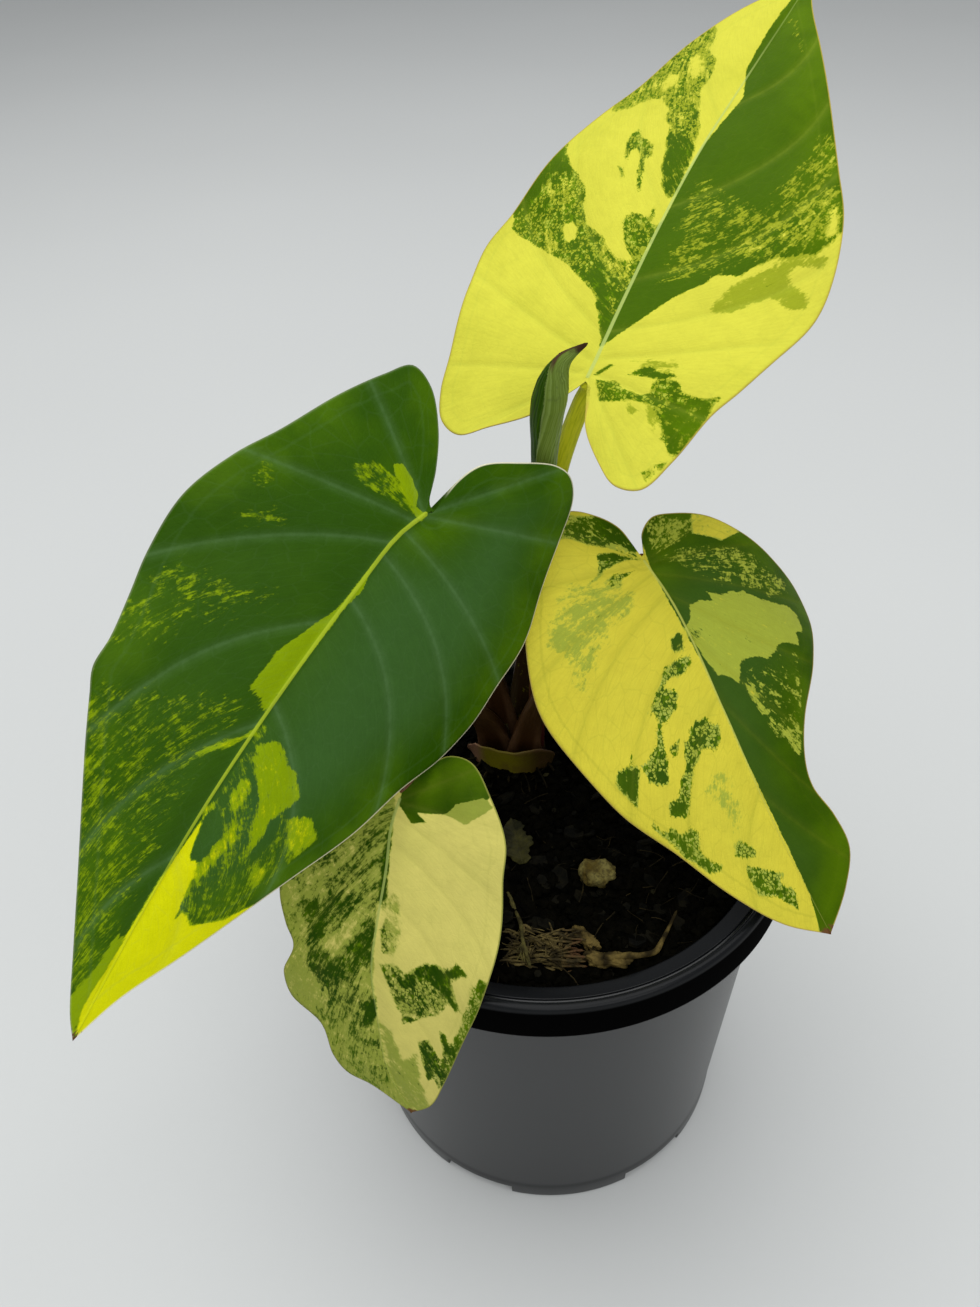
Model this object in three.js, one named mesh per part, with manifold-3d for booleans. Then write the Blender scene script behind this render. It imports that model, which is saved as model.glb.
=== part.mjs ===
// A potted variegated arrowleaf elephant ear, in millimetres, +Z up.
// The origin is the centre of the pot's underside, on the surface that the pot stands on.
// Four arrow-shaped leaves and one rolled new leaf grow from a stem base in a small nursery pot.
// The viewer's side of the plant is -Y, and the leaves are named after where they lie from there.

import * as THREE from 'three';
import { mergeVertices } from 'three/addons/utils/BufferGeometryUtils.js';
import Module from 'manifold-3d';

const wasm = await Module();
wasm.setup();

// Driving dimensions

const GAP = 0.3; // clearance where two pieces touch

const POT = {
  height: 93.6,
  lipRadius: 52, // crown of the rounded lip
  skirtRadius: 53.1, // lower edge of the rim's skirt
  skirtHeight: 8.6,
  shelfInnerRadius: 46.2, // where the rim's sloping shelf meets the inner wall
  wallTopRadius: 49.2,
  baseRadius: 42.5,
  footHeight: 5,
  footStep: 0.5,
  wall: 1.9,
  floor: 1.8,
  sides: 56,
};

const NOTCH = { count: 6, firstDegrees: -117, width: 17, depth: 12, height: 3.4 };

const SOIL = { level: 88, edgeRise: 2, relief: 1.1, rings: 11, sides: 44 };

const CROWN = { x: -6.2, y: 21.8, radius: 8.2, topRadius: 6.4, bottom: 76, top: 91.5, sides: 20 };

const COLLAR = { radius: 9.8, thickness: 1.2, bottom: 84, top: 92.6, fromDegrees: 178, toDegrees: 318 };

const BLADE = { thickness: 0.8, sideSteps: 25, acrossSteps: 4 };

const STEM = { sides: 8, steps: 14, baseRadius: 2.05, topRadius: 1.45 };

// Each leaf: where its stalk meets the blade, how the blade is turned there, how it bends, and
// its outline. Heading is the compass direction of the midrib from +X, pitch is how far the midrib
// dips below level, roll lifts the left edge. Arch is the midrib's bend in radians per millimetre,
// and droop is how fast each half falls away from it (left half, right half). An outline point is
// [distance along the midrib, distance from it], from the notch round the lobe to the tip.

const LEAVES = {
  back: {
    base: [9.1, 22.3, 180.4],
    heading: 58,
    pitch: -35,
    roll: 6,
    arch: 0.002,
    droop: [0.0025, 0.0025],
    wave: { height: 1.2, length: 38, phase: 0.5 },
    left: [
      [-3, 1], [-10, 7], [-15, 14], [-18, 19], [-16, 24], [-10, 27.5], [-2, 29], [12, 32],
      [24, 34.5], [32, 32], [45, 29], [59, 25], [68, 20], [80, 15], [92, 9],
    ],
    right: [
      [-3, -0.5], [-9, -3], [-15, -9], [-18, -13.5], [-17, -18], [-10, -21], [0, -24], [6, -27],
      [14, -30], [25, -33], [34, -33], [45, -30.5], [57, -25], [70, -18.5], [85, -10.5], [95, -5],
    ],
    tip: [104.5, -1],
    stalk: [[-4.6, 25.4, 84], [-4.4, 25.8, 96], [-2.5, 26.6, 120], [3.6, 26.2, 158], [8.2, 24.6, 174]],
    bladeColour: 0xd8d04a,
    stalkColour: 0xa5a52a,
  },
  left: {
    base: [-18.6, -7.2, 169.5],
    heading: -127,
    pitch: 32,
    roll: -59,
    arch: 0.002,
    droop: [0.006, 0.003],
    wave: { height: 1.2, length: 42, phase: 0 },
    left: [
      [-2, 0.2], [-8, 0.8], [-13, 3], [-18, 9], [-22.5, 16], [-23, 20], [-20.5, 23.5], [-13, 26.5],
      [-3, 29], [6, 31], [16, 31], [25, 31.8], [33, 30], [42, 25], [53, 21], [63, 16.5], [73, 12],
      [84, 7], [94, 2.5],
    ],
    right: [
      [-2, -1.5], [-7, -3.5], [-13, -7], [-18, -12], [-19, -16.5], [-15, -19.5], [-8, -23.5],
      [3, -28.5], [11, -32.5], [20, -35], [31, -35], [44, -32.5], [54, -29], [66, -23], [78, -16],
      [90, -9], [100, -3],
    ],
    tip: [103.8, 0],
    stalk: [[-9.3, 25, 84], [-9.8, 25, 96], [-13.5, 22, 122], [-18.5, 10, 150], [-20.2, -1, 163]],
    bladeColour: 0x4f7f30,
    stalkColour: 0x7d5a45,
  },
  right: {
    base: [20.2, 12.3, 146.4],
    heading: -55,
    pitch: 37,
    roll: 10,
    arch: 0.003,
    droop: [0.012, 0.005],
    wave: { height: 1.2, length: 34, phase: 1 },
    left: [
      [-1.5, 1], [-5, 2.3], [-7.3, 6], [-6.5, 11], [-3.5, 18.5], [2, 24.5], [9, 29.5], [18, 34],
      [25, 32], [33, 26.5], [42, 16.5], [49, 11.3], [54, 10.3], [61, 12], [68, 12], [74, 7.5],
    ],
    right: [
      [-2, -0.3], [-8, -1.2], [-12.5, -4.5], [-15.5, -9], [-14.5, -15], [-9, -20.5], [-2, -25],
      [6, -29], [16, -31.3], [28, -30.3], [41, -27], [53, -20.5], [64, -15], [74, -8],
    ],
    tip: [80.5, 0],
    stalk: [[-4.6, 18, 84], [-3.6, 17.6, 96], [3, 17, 115], [14, 16.4, 134], [18.4, 15.6, 141]],
    bladeColour: 0xd2c648,
    stalkColour: 0x8a4f3c,
  },
  low: {
    base: [-26.4, -26, 120.5],
    heading: -102,
    pitch: 42,
    roll: 8,
    arch: 0.0115,
    droop: [0.002, 0.002],
    wave: { height: 1.8, length: 26, phase: 0.3 },
    left: [
      [-2, 1], [-6, 4], [-9, 8], [-8.5, 12.5], [-3, 17], [5, 21.5], [12, 21.5], [25, 21.5],
      [35, 19], [45, 15], [55, 11], [63, 7],
    ],
    right: [
      [-2, -1], [-7, -4], [-9, -9], [-6, -14], [2, -19], [11, -23], [21, -24], [27, -21.5],
      [31, -19.5], [38, -22.5], [44, -22.5], [48, -15.5], [55, -12.5], [60, -8.5],
    ],
    tip: [66.5, 2.5],
    stalk: [[-10.2, 20.2, 84], [-11.5, 19.4, 95], [-15.5, 12, 107.5], [-21.5, -8, 116], [-24.8, -20, 117.6]],
    bladeColour: 0xb5b060,
    stalkColour: 0x8c5a50,
  },
};

// The new leaf still rolled into a spindle, on its own stalk: a route, and its radius along it.
const SPINDLE = {
  route: [
    [-1.6, 22.2, 84], [-1.3, 22.2, 96], [-0.5, 22, 120], [0.1, 21.6, 142], [0.7, 18.8, 160],
    [1, 14.5, 171], [2, 10, 182], [4.6, 7.4, 190], [7.4, 6.4, 192.5],
  ],
  radii: [[0, 1.9], [0.35, 1.9], [0.6, 2.4], [0.8, 2.9], [0.93, 1.6], [1, 0.35]],
  wrap: 0.16, // how far the rolled margin stands out, as a share of the radius
  sides: 12,
  steps: 22,
};

// Loose things that lie on the soil: centre, half sizes, turn about Z and tilt in degrees.
const LUMPS = {
  perlite_grain: { at: [11.5, -18.4, 90], half: [4.1, 3.5, 3], turn: 10, tilt: 5, seed: 3, colour: 0xb9a883 },
  leaf_scrap: { at: [-5.8, -9, 89.2], half: [3.5, 6.4, 0.9], turn: 12, tilt: 6, seed: 5, colour: 0x54502c },
  fibre_mat: { at: [0.4, -38.4, 90.2], half: [8.6, 4.6, 1.7], turn: -4, tilt: 3, seed: 7, colour: 0x5a4d35 },
  bark_chip: { at: [13.8, -39.2, 90.4], half: [3.4, 1.7, 1.4], turn: 4, tilt: 6, seed: 11, colour: 0x6a5838 },
  bark_crumb: { at: [8.6, -31, 89.4], half: [2.6, 1.7, 1.2], turn: -35, tilt: 12, seed: 13, colour: 0x6e5c3a },
};

const STRANDS = {
  root_strand: {
    route: [[-7.6, -22, 88.6], [-6, -27.2, 89.6], [-4.7, -32.4, 91.6], [-4.2, -37.6, 93.2], [-2.9, -42.6, 92.4]],
    radius: 0.55,
    colour: 0x6f6444,
  },
  twig: {
    route: [[17.8, -39.4, 90.6], [20.6, -38.7, 90.8], [22.4, -36, 90.6], [24, -32.8, 90.8], [26, -29, 91.4]],
    radius: 0.6,
    colour: 0x75623d,
  },
};

const COLOUR = { pot: 0x17191b, soil: 0x14110e, crown: 0x4a2420, collar: 0x9a8a4a, spindle: 0x6f8a4a };

// Helpers for closed solids

function closedGeometry(positions, indices) {
  const geometry = new THREE.BufferGeometry();
  geometry.setAttribute('position', new THREE.Float32BufferAttribute(positions, 3));
  geometry.setIndex(indices);
  return geometry;
}

function toSolid(geometry) {
  const bare = geometry.clone();
  bare.deleteAttribute('normal');
  bare.deleteAttribute('uv');
  const merged = mergeVertices(bare, 1e-4);
  return new wasm.Manifold(
    new wasm.Mesh({
      numProp: 3,
      vertProperties: new Float32Array(merged.getAttribute('position').array),
      triVerts: new Uint32Array(merged.getIndex().array),
    }),
  );
}

function toGeometry(solid) {
  const mesh = solid.getMesh();
  return closedGeometry(Array.from(mesh.vertProperties), Array.from(mesh.triVerts));
}

function material(colour, roughness) {
  return new THREE.MeshStandardMaterial({ color: colour, roughness, metalness: 0 });
}

const group = new THREE.Group();

function addPiece(name, geometry, colour, roughness) {
  const piece = new THREE.Mesh(geometry, material(colour, roughness));
  piece.name = name;
  group.add(piece);
}

// A smooth value that goes up and down over the plane, made of three crossing waves.
function ripple(x, y, seed) {
  const a = Math.sin(x * 0.31 + seed) * Math.cos(y * 0.27 - seed * 1.7);
  const b = Math.sin(x * 0.13 - y * 0.19 + seed * 2.3);
  const c = Math.cos(x * 0.47 + y * 0.41 + seed * 0.9);
  return 0.45 * a + 0.35 * b + 0.2 * c;
}

// Straight-line reading of a table of [position, value] pairs.
function along(table, u) {
  for (let i = 1; i < table.length; i++) {
    const [u0, v0] = table[i - 1];
    const [u1, v1] = table[i];
    if (u <= u1) {
      return v0 + ((v1 - v0) * (u - u0)) / (u1 - u0);
    }
  }
  return table[table.length - 1][1];
}

// A closed rod along a smooth route. sectionRadius(u, angle) gives its radius, and extend
// lengthens the rod at both ends.
function rod(route, sides, steps, sectionRadius, extend = 0) {
  const stops = route.map((p) => new THREE.Vector3(...p));
  const first = stops[0];
  const last = stops[stops.length - 1];
  first.addScaledVector(first.clone().sub(stops[1]).normalize(), extend);
  last.addScaledVector(last.clone().sub(stops[stops.length - 2]).normalize(), extend);
  const curve = new THREE.CatmullRomCurve3(stops);
  const frames = curve.computeFrenetFrames(steps, false);
  const positions = [];
  const indices = [];
  for (let i = 0; i <= steps; i++) {
    const u = i / steps;
    const centre = curve.getPointAt(u);
    for (let j = 0; j < sides; j++) {
      const angle = (2 * Math.PI * j) / sides;
      const radius = sectionRadius(u, angle);
      const rim = centre.clone();
      rim.addScaledVector(frames.normals[i], radius * Math.cos(angle));
      rim.addScaledVector(frames.binormals[i], radius * Math.sin(angle));
      positions.push(rim.x, rim.y, rim.z);
    }
  }
  for (let i = 0; i < steps; i++) {
    for (let j = 0; j < sides; j++) {
      const k = (j + 1) % sides;
      const a = i * sides + j;
      const b = i * sides + k;
      indices.push(a, b, b + sides, a, b + sides, a + sides);
    }
  }
  const cap = positions.length / 3;
  const start = curve.getPointAt(0);
  const end = curve.getPointAt(1);
  positions.push(start.x, start.y, start.z, end.x, end.y, end.z);
  for (let j = 0; j < sides; j++) {
    const k = (j + 1) % sides;
    indices.push(cap, k, j);
    indices.push(cap + 1, steps * sides + j, steps * sides + k);
  }
  return closedGeometry(positions, indices);
}

// The pot: a turned shell with a raised lip, a sloping shelf inside it and a skirt outside,
// with drainage notches cut through the corner of its base.

function innerRadius(z) {
  const bottomRadius = POT.baseRadius - POT.wall;
  const u = (z - POT.floor) / (POT.height - 2.2 - POT.floor);
  return bottomRadius + (POT.shelfInnerRadius - bottomRadius) * u;
}

function potGeometry() {
  const top = POT.height;
  const skirtFoot = top - POT.skirtHeight;
  const foot = POT.baseRadius + POT.footStep;
  const wallAtFoot = POT.baseRadius + ((POT.wallTopRadius - POT.baseRadius) * POT.footHeight) / skirtFoot;
  const profile = [
    [0, 0],
    [foot - 1, 0],
    [foot, 1],
    [wallAtFoot + POT.footStep, POT.footHeight],
    [wallAtFoot, POT.footHeight + 0.5],
    [POT.wallTopRadius, skirtFoot + 1],
    [POT.skirtRadius - 0.8, skirtFoot],
    [POT.skirtRadius, skirtFoot + 0.5],
    [POT.lipRadius + 0.5, top - 1],
    [POT.lipRadius, top - 0.1],
    [POT.lipRadius - 0.7, top],
    [POT.lipRadius - 1.3, top - 0.6],
    [POT.lipRadius - 1.8, top - 0.5],
    [POT.shelfInnerRadius, top - 2.2],
    [POT.baseRadius - POT.wall, POT.floor],
    [0, POT.floor],
  ].map(([r, z]) => new THREE.Vector2(r, z));
  const shell = new THREE.LatheGeometry(profile, POT.sides);
  shell.rotateX(Math.PI / 2);
  let solid = toSolid(shell);
  for (let i = 0; i < NOTCH.count; i++) {
    const angle = THREE.MathUtils.degToRad(NOTCH.firstDegrees + (360 * i) / NOTCH.count);
    const notch = new THREE.BoxGeometry(NOTCH.depth, NOTCH.width, 2 * NOTCH.height);
    notch.translate(POT.baseRadius, 0, 0);
    notch.rotateZ(angle);
    solid = solid.subtract(toSolid(notch));
  }
  return toGeometry(solid);
}

// The soil: fills the pot up to its shelf, with a lumpy top that rises a little at the wall.

function soilHeight(x, y) {
  const share = Math.hypot(x, y) / POT.shelfInnerRadius;
  return SOIL.level + SOIL.edgeRise * share ** 4 + SOIL.relief * ripple(x, y, 1.3);
}

function soilSolid() {
  const bottom = POT.floor + GAP;
  const floorRadius = innerRadius(bottom) - GAP;
  const positions = [0, 0, soilHeight(0, 0)];
  const indices = [];
  for (let ring = 1; ring <= SOIL.rings; ring++) {
    for (let j = 0; j < SOIL.sides; j++) {
      const angle = (2 * Math.PI * j) / SOIL.sides;
      const wallGap = GAP + 0.15;
      const outer = innerRadius(SOIL.level) - wallGap;
      const r = (outer * ring) / SOIL.rings;
      const x = r * Math.cos(angle);
      const y = r * Math.sin(angle);
      positions.push(x, y, soilHeight(x, y));
    }
  }
  const at = (ring, j) => 1 + (ring - 1) * SOIL.sides + (j % SOIL.sides);
  for (let j = 0; j < SOIL.sides; j++) {
    indices.push(0, at(1, j), at(1, j + 1));
    for (let ring = 1; ring < SOIL.rings; ring++) {
      indices.push(at(ring, j), at(ring + 1, j), at(ring + 1, j + 1));
      indices.push(at(ring, j), at(ring + 1, j + 1), at(ring, j + 1));
    }
  }
  const base = positions.length / 3;
  for (let j = 0; j < SOIL.sides; j++) {
    const angle = (2 * Math.PI * j) / SOIL.sides;
    positions.push(floorRadius * Math.cos(angle), floorRadius * Math.sin(angle), bottom);
  }
  positions.push(0, 0, bottom);
  for (let j = 0; j < SOIL.sides; j++) {
    const a = at(SOIL.rings, j);
    const b = at(SOIL.rings, j + 1);
    const c = base + j;
    const d = base + ((j + 1) % SOIL.sides);
    indices.push(a, c, d, a, d, b);
    indices.push(base + SOIL.sides, d, c);
  }
  return toSolid(closedGeometry(positions, indices));
}

// A lump lying on the soil: a small uneven ball. swell makes it larger all round.
function lumpSolid({ at, half, turn, tilt, seed }, swell) {
  const ball = new THREE.SphereGeometry(1, 12, 8);
  const spots = ball.getAttribute('position');
  for (let i = 0; i < spots.count; i++) {
    const [x, y, z] = [spots.getX(i), spots.getY(i), spots.getZ(i)];
    const uneven = 1 + 0.14 * ripple(x * 7, y * 7 + z * 5, seed);
    spots.setXYZ(
      i,
      x * (half[0] * uneven + swell),
      y * (half[1] * uneven + swell),
      z * (half[2] * uneven + swell),
    );
  }
  ball.rotateX(THREE.MathUtils.degToRad(tilt));
  ball.rotateZ(THREE.MathUtils.degToRad(turn));
  ball.translate(...at);
  return toSolid(ball);
}

function strandSolid({ route, radius }, swell) {
  return toSolid(rod(route, 6, 14, () => radius + swell, swell));
}

// The stem base that the stalks rise from, a low tapered stump with one hole for each stalk.
function crownSolid(swell) {
  const { radius, topRadius, bottom, top } = CROWN;
  const profile = [
    [0, bottom - swell],
    [radius - 1 + swell, bottom - swell],
    [radius + swell, bottom + 4],
    [radius + swell, top - 6],
    [topRadius + swell, top - 0.6],
    [topRadius - 0.8 + swell, top + swell],
    [0, top + swell],
  ].map(([r, z]) => new THREE.Vector2(r, z));
  const stump = new THREE.LatheGeometry(profile, CROWN.sides);
  stump.rotateX(Math.PI / 2);
  stump.translate(CROWN.x, CROWN.y, 0);
  return toSolid(stump);
}

// The old sheath round the front of the stem base, a low curved strip that leans outward.
function collarSolid(swell) {
  const steps = 14;
  const from = THREE.MathUtils.degToRad(COLLAR.fromDegrees) - swell / COLLAR.radius;
  const to = THREE.MathUtils.degToRad(COLLAR.toDegrees) + swell / COLLAR.radius;
  const positions = [];
  const indices = [];
  for (let i = 0; i <= steps; i++) {
    const u = i / steps;
    const angle = from + (to - from) * u;
    const rise = (COLLAR.top - COLLAR.bottom) * (0.62 + 0.38 * Math.sin(Math.PI * u) ** 0.6);
    const inner = COLLAR.radius - swell;
    const outer = COLLAR.radius + COLLAR.thickness + swell;
    const lean = 1.4;
    const corners = [
      [inner, COLLAR.bottom - swell],
      [outer, COLLAR.bottom - swell],
      [outer + lean, COLLAR.bottom + rise + swell],
      [inner + lean, COLLAR.bottom + rise + swell],
    ];
    for (const [r, z] of corners) {
      positions.push(CROWN.x + r * Math.cos(angle), CROWN.y + r * Math.sin(angle), z);
    }
  }
  for (let i = 0; i < steps; i++) {
    for (let j = 0; j < 4; j++) {
      const a = 4 * i + j;
      const b = 4 * i + ((j + 1) % 4);
      indices.push(a, b + 4, b, a, a + 4, b + 4);
    }
  }
  const last = 4 * steps;
  indices.push(0, 1, 2, 0, 2, 3, last, last + 2, last + 1, last, last + 3, last + 2);
  return toSolid(closedGeometry(positions, indices));
}

// Leaves

function bladeAxes({ heading, pitch, roll }) {
  const h = THREE.MathUtils.degToRad(heading);
  const p = THREE.MathUtils.degToRad(pitch);
  const r = THREE.MathUtils.degToRad(roll);
  const forward = new THREE.Vector3(Math.cos(h) * Math.cos(p), Math.sin(h) * Math.cos(p), -Math.sin(p));
  const level = new THREE.Vector3(-Math.sin(h), Math.cos(h), 0);
  const lift = new THREE.Vector3().crossVectors(forward, level);
  const side = level.multiplyScalar(Math.cos(r)).addScaledVector(lift, Math.sin(r));
  const normal = new THREE.Vector3().crossVectors(forward, side);
  return { forward, side, normal };
}

// The point of a blade at s along the midrib and t beside it, raised by lift off its middle face.
function bladePoint(leaf, axes, s, t, lift) {
  const bend = leaf.arch * Math.max(s, 0);
  const droop = t > 0 ? leaf.droop[0] : leaf.droop[1];
  const wave = leaf.wave.height * (t / 30) ** 2 * Math.sin((2 * Math.PI * s) / leaf.wave.length + leaf.wave.phase);
  const height = wave - droop * t * t + lift;
  const ahead = Math.sin(bend) / leaf.arch + Math.min(s, 0) + height * Math.sin(bend);
  const up = (Math.cos(bend) - 1) / leaf.arch + height * Math.cos(bend);
  const point = new THREE.Vector3(...leaf.base);
  point.addScaledVector(axes.forward, ahead);
  point.addScaledVector(axes.side, t);
  point.addScaledVector(axes.normal, up);
  return point;
}

// The margin of one half, from the notch to the tip, at even steps along a smooth curve.
function marginOf(leaf, outline) {
  const stations = [[-1, 0], ...outline, leaf.tip];
  const curve = new THREE.CatmullRomCurve3(stations.map(([s, t]) => new THREE.Vector3(s, t, 0)));
  return curve.getSpacedPoints(BLADE.sideSteps).map((p) => [p.x, p.y]);
}

// A blade: rows run from the midrib out to the margin as the side veins do, alike on both faces.
function bladeGeometry(leaf) {
  const axes = bladeAxes(leaf);
  const steps = BLADE.sideSteps;
  const across = BLADE.acrossSteps;
  const positions = [];
  const indices = [];
  const known = new Map();
  const indexOf = (s, t) => {
    const key = `${s.toFixed(3)},${t.toFixed(3)}`;
    if (!known.has(key)) {
      known.set(key, positions.length / 3);
      for (const lift of [BLADE.thickness / 2, -BLADE.thickness / 2]) {
        const p = bladePoint(leaf, axes, s, t, lift);
        positions.push(p.x, p.y, p.z);
      }
    }
    return known.get(key);
  };
  const face = (a, b, c, mirrored) => {
    if (a === b || b === c || a === c) {
      return;
    }
    const [p, q, r] = mirrored ? [a, c, b] : [a, b, c];
    indices.push(p, q, r, p + 1, r + 1, q + 1);
  };
  for (const [outline, mirrored] of [[leaf.left, false], [leaf.right, true]]) {
    const margin = marginOf(leaf, outline);
    const spot = (i, j) => {
      const root = leaf.tip[0] * (i / steps) ** 1.7;
      const rootSide = leaf.tip[1] * (i / steps) ** 3;
      const u = j / across;
      return indexOf(root + (margin[i][0] - root) * u, rootSide + (margin[i][1] - rootSide) * u);
    };
    for (let i = 0; i < steps; i++) {
      for (let j = 0; j < across; j++) {
        face(spot(i, j), spot(i + 1, j), spot(i + 1, j + 1), mirrored);
        face(spot(i, j), spot(i + 1, j + 1), spot(i, j + 1), mirrored);
      }
      const a = spot(i, across);
      const b = spot(i + 1, across);
      if (mirrored) {
        indices.push(a, b + 1, b, a, a + 1, b + 1);
      } else {
        indices.push(a, b, b + 1, a, b + 1, a + 1);
      }
    }
  }
  return closedGeometry(positions, indices);
}

// A stalk rises from the stem base, thins, and ends just under its blade, square to it.
function stalkGeometry(leaf, swell) {
  const { normal } = bladeAxes(leaf);
  const under = (distance) => new THREE.Vector3(...leaf.base).addScaledVector(normal, -distance).toArray();
  const route = [...leaf.stalk, under(3.5), under(BLADE.thickness / 2 + GAP + 0.05)];
  const radius = (u) => STEM.baseRadius + (STEM.topRadius - STEM.baseRadius) * u + swell;
  return rod(route, STEM.sides, STEM.steps, radius, swell);
}

function spindleGeometry(swell) {
  const radius = (u, angle) => {
    const rolled = 1 + (SPINDLE.wrap * angle * Math.min(1, Math.max(0, (u - 0.5) * 5))) / (2 * Math.PI);
    return along(SPINDLE.radii, u) * rolled + swell;
  };
  return rod(SPINDLE.route, SPINDLE.sides, SPINDLE.steps, radius, swell);
}

// Assembly

let soil = soilSolid();
soil = soil.subtract(crownSolid(GAP));
soil = soil.subtract(collarSolid(GAP));

let crown = crownSolid(0);
crown = crown.subtract(toSolid(spindleGeometry(GAP)));
for (const leaf of Object.values(LEAVES)) {
  crown = crown.subtract(toSolid(stalkGeometry(leaf, GAP)));
}

for (const [name, lump] of Object.entries(LUMPS)) {
  soil = soil.subtract(lumpSolid(lump, GAP));
  addPiece(name, toGeometry(lumpSolid(lump, 0)), lump.colour, 0.9);
}

for (const [name, strand] of Object.entries(STRANDS)) {
  soil = soil.subtract(strandSolid(strand, GAP));
  addPiece(name, toGeometry(strandSolid(strand, 0)), strand.colour, 0.9);
}

addPiece('pot', potGeometry(), COLOUR.pot, 0.45);
addPiece('soil', toGeometry(soil), COLOUR.soil, 1);
addPiece('stem_base', toGeometry(crown), COLOUR.crown, 0.7);
addPiece('collar_sheath', toGeometry(collarSolid(0)), COLOUR.collar, 0.7);
addPiece('rolled_leaf', spindleGeometry(0), COLOUR.spindle, 0.6);

for (const [name, leaf] of Object.entries(LEAVES)) {
  addPiece(`leaf_stalk_${name}`, stalkGeometry(leaf, 0), leaf.stalkColour, 0.6);
  addPiece(`leaf_blade_${name}`, bladeGeometry(leaf), leaf.bladeColour, 0.55);
}

export default group;
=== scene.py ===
# A potted variegated arrowleaf elephant ear: four arrow-shaped leaves and one rolled new leaf that
# rise from a short stem base in a black nursery pot filled with dark mix. Sizes are in millimetres
# up to the mesh, which is in metres. The viewer's side of the plant is -Y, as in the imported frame.

import math

import bmesh
import bpy
import numpy as np
from mathutils import Matrix, Vector, noise


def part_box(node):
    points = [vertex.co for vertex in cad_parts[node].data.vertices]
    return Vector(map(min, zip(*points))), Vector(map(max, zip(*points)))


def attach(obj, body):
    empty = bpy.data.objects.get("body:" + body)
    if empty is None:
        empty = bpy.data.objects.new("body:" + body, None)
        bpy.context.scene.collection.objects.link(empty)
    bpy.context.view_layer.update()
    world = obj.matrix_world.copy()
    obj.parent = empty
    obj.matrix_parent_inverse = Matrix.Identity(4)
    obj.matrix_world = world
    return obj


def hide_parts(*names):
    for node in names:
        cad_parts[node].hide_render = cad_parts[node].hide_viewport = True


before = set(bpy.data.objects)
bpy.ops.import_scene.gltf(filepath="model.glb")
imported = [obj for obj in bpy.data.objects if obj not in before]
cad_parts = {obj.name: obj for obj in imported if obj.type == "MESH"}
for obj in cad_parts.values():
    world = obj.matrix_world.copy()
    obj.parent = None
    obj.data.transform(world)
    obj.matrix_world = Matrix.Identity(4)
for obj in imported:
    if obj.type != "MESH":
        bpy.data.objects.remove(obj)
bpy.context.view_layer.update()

# Pot
# A thin-walled nursery pot, injection moulded in one shot of black polypropylene. It has a rounded
# lip with a groove inside it, a sloping shelf, a short skirt, and drainage notches round its foot.

MM = 0.001
POT_SIDES = 192
BEND_STEPS = 5
NOTCH_COUNT = 6
NOTCH_FIRST_DEGREES = -113
NOTCH_WIDTH = 17
NOTCH_HEIGHT = 3.4
NOTCH_DEPTH = 12

pot_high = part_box("pot")[1]
POT_HEIGHT = pot_high.z / MM
SKIRT_RADIUS = pot_high.x / MM
SKIRT_INSIDE = SKIRT_RADIUS - 1.5
LIP_INSIDE = SKIRT_RADIUS - 2.25
SHELF_OUTER_RADIUS = SKIRT_RADIUS - 2.9
SHELF_INNER_RADIUS = SKIRT_RADIUS - 6.8
SHELF_FOOT = POT_HEIGHT - 4
SKIRT_FOOT = POT_HEIGHT - 8.1
LIP_FOOT = POT_HEIGHT - 1.3
POT_WALL_BASE_RADIUS = 42.6
# The skirt's dulling takes its gloss away so that it reads black: painted shade, not a duller plastic.
POT_GLOSS, SKIRT_SHADE_DULLING, SHELF_DULLING, LIP_DULLING = 0.85, 0.83, 0.55, 0.6
SHARP_DEGREES = 40

# Each corner of the profile: radius, height, and how far before and after it the bend begins.
POT_PROFILE = [
    (0, 0.9, 0), (36.5, 0.9, 0.8), (37.6, 0, 0.5), (43.0, 0, 0.9), (43.3, 4.8, 1.0), (43.2, 6.0, 1.0),
    (49.1, POT_HEIGHT - 8.0, 0.8), (52.2, POT_HEIGHT - 8.7, 0.3), (SKIRT_RADIUS, POT_HEIGHT - 8.5, 0.5),
    (SKIRT_RADIUS - 0.45, POT_HEIGHT, 1.1), (SKIRT_RADIUS - 2.1, POT_HEIGHT, 0.55),
    (SKIRT_RADIUS - 2.3, POT_HEIGHT - 0.95, 0.25), (SKIRT_RADIUS - 2.9, POT_HEIGHT - 0.95, 0.2),
    (SKIRT_RADIUS - 3.0, POT_HEIGHT - 0.45, 0.2), (SHELF_INNER_RADIUS, POT_HEIGHT - 2.1, 0.6),
    (SHELF_INNER_RADIUS - 0.7, POT_HEIGHT - 7.5, 0.5), (40.6, 1.8, 1.2), (0, 1.8, 0),
]


class Signal:
    """What one node hands to the next. Sums of signals and numbers become nodes of the same tree."""

    def __init__(self, tree, socket):
        self.tree = tree
        self.socket = socket

    def __add__(self, other):
        return calculate("ADD", self, other)

    def __sub__(self, other):
        return calculate("SUBTRACT", self, other)

    def __rsub__(self, other):
        return calculate("SUBTRACT", other, self)

    def __mul__(self, other):
        return calculate("MULTIPLY", self, other)

    def __truediv__(self, other):
        return calculate("DIVIDE", self, other)

    __radd__ = __add__
    __rmul__ = __mul__


def plug(socket, value):
    """Links a signal to an input, or sets the input to a plain value."""
    if isinstance(value, Signal):
        value.tree.links.new(value.socket, socket)
    else:
        socket.default_value = value


def put(tree, kind, inputs=None, out=0, **settings):
    """Adds a node of this kind with its settings and inputs, and hands back one of its outputs."""
    made = tree.nodes.new(kind)
    for name, value in settings.items():
        setattr(made, name, value)
    for name, value in (inputs or {}).items():
        plug(made.inputs[name], value)
    return Signal(tree, made.outputs[out]) if made.outputs else None


def tree_of(*values):
    """The node tree that the signals among these values belong to."""
    return next(value.tree for value in values if isinstance(value, Signal))


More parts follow.
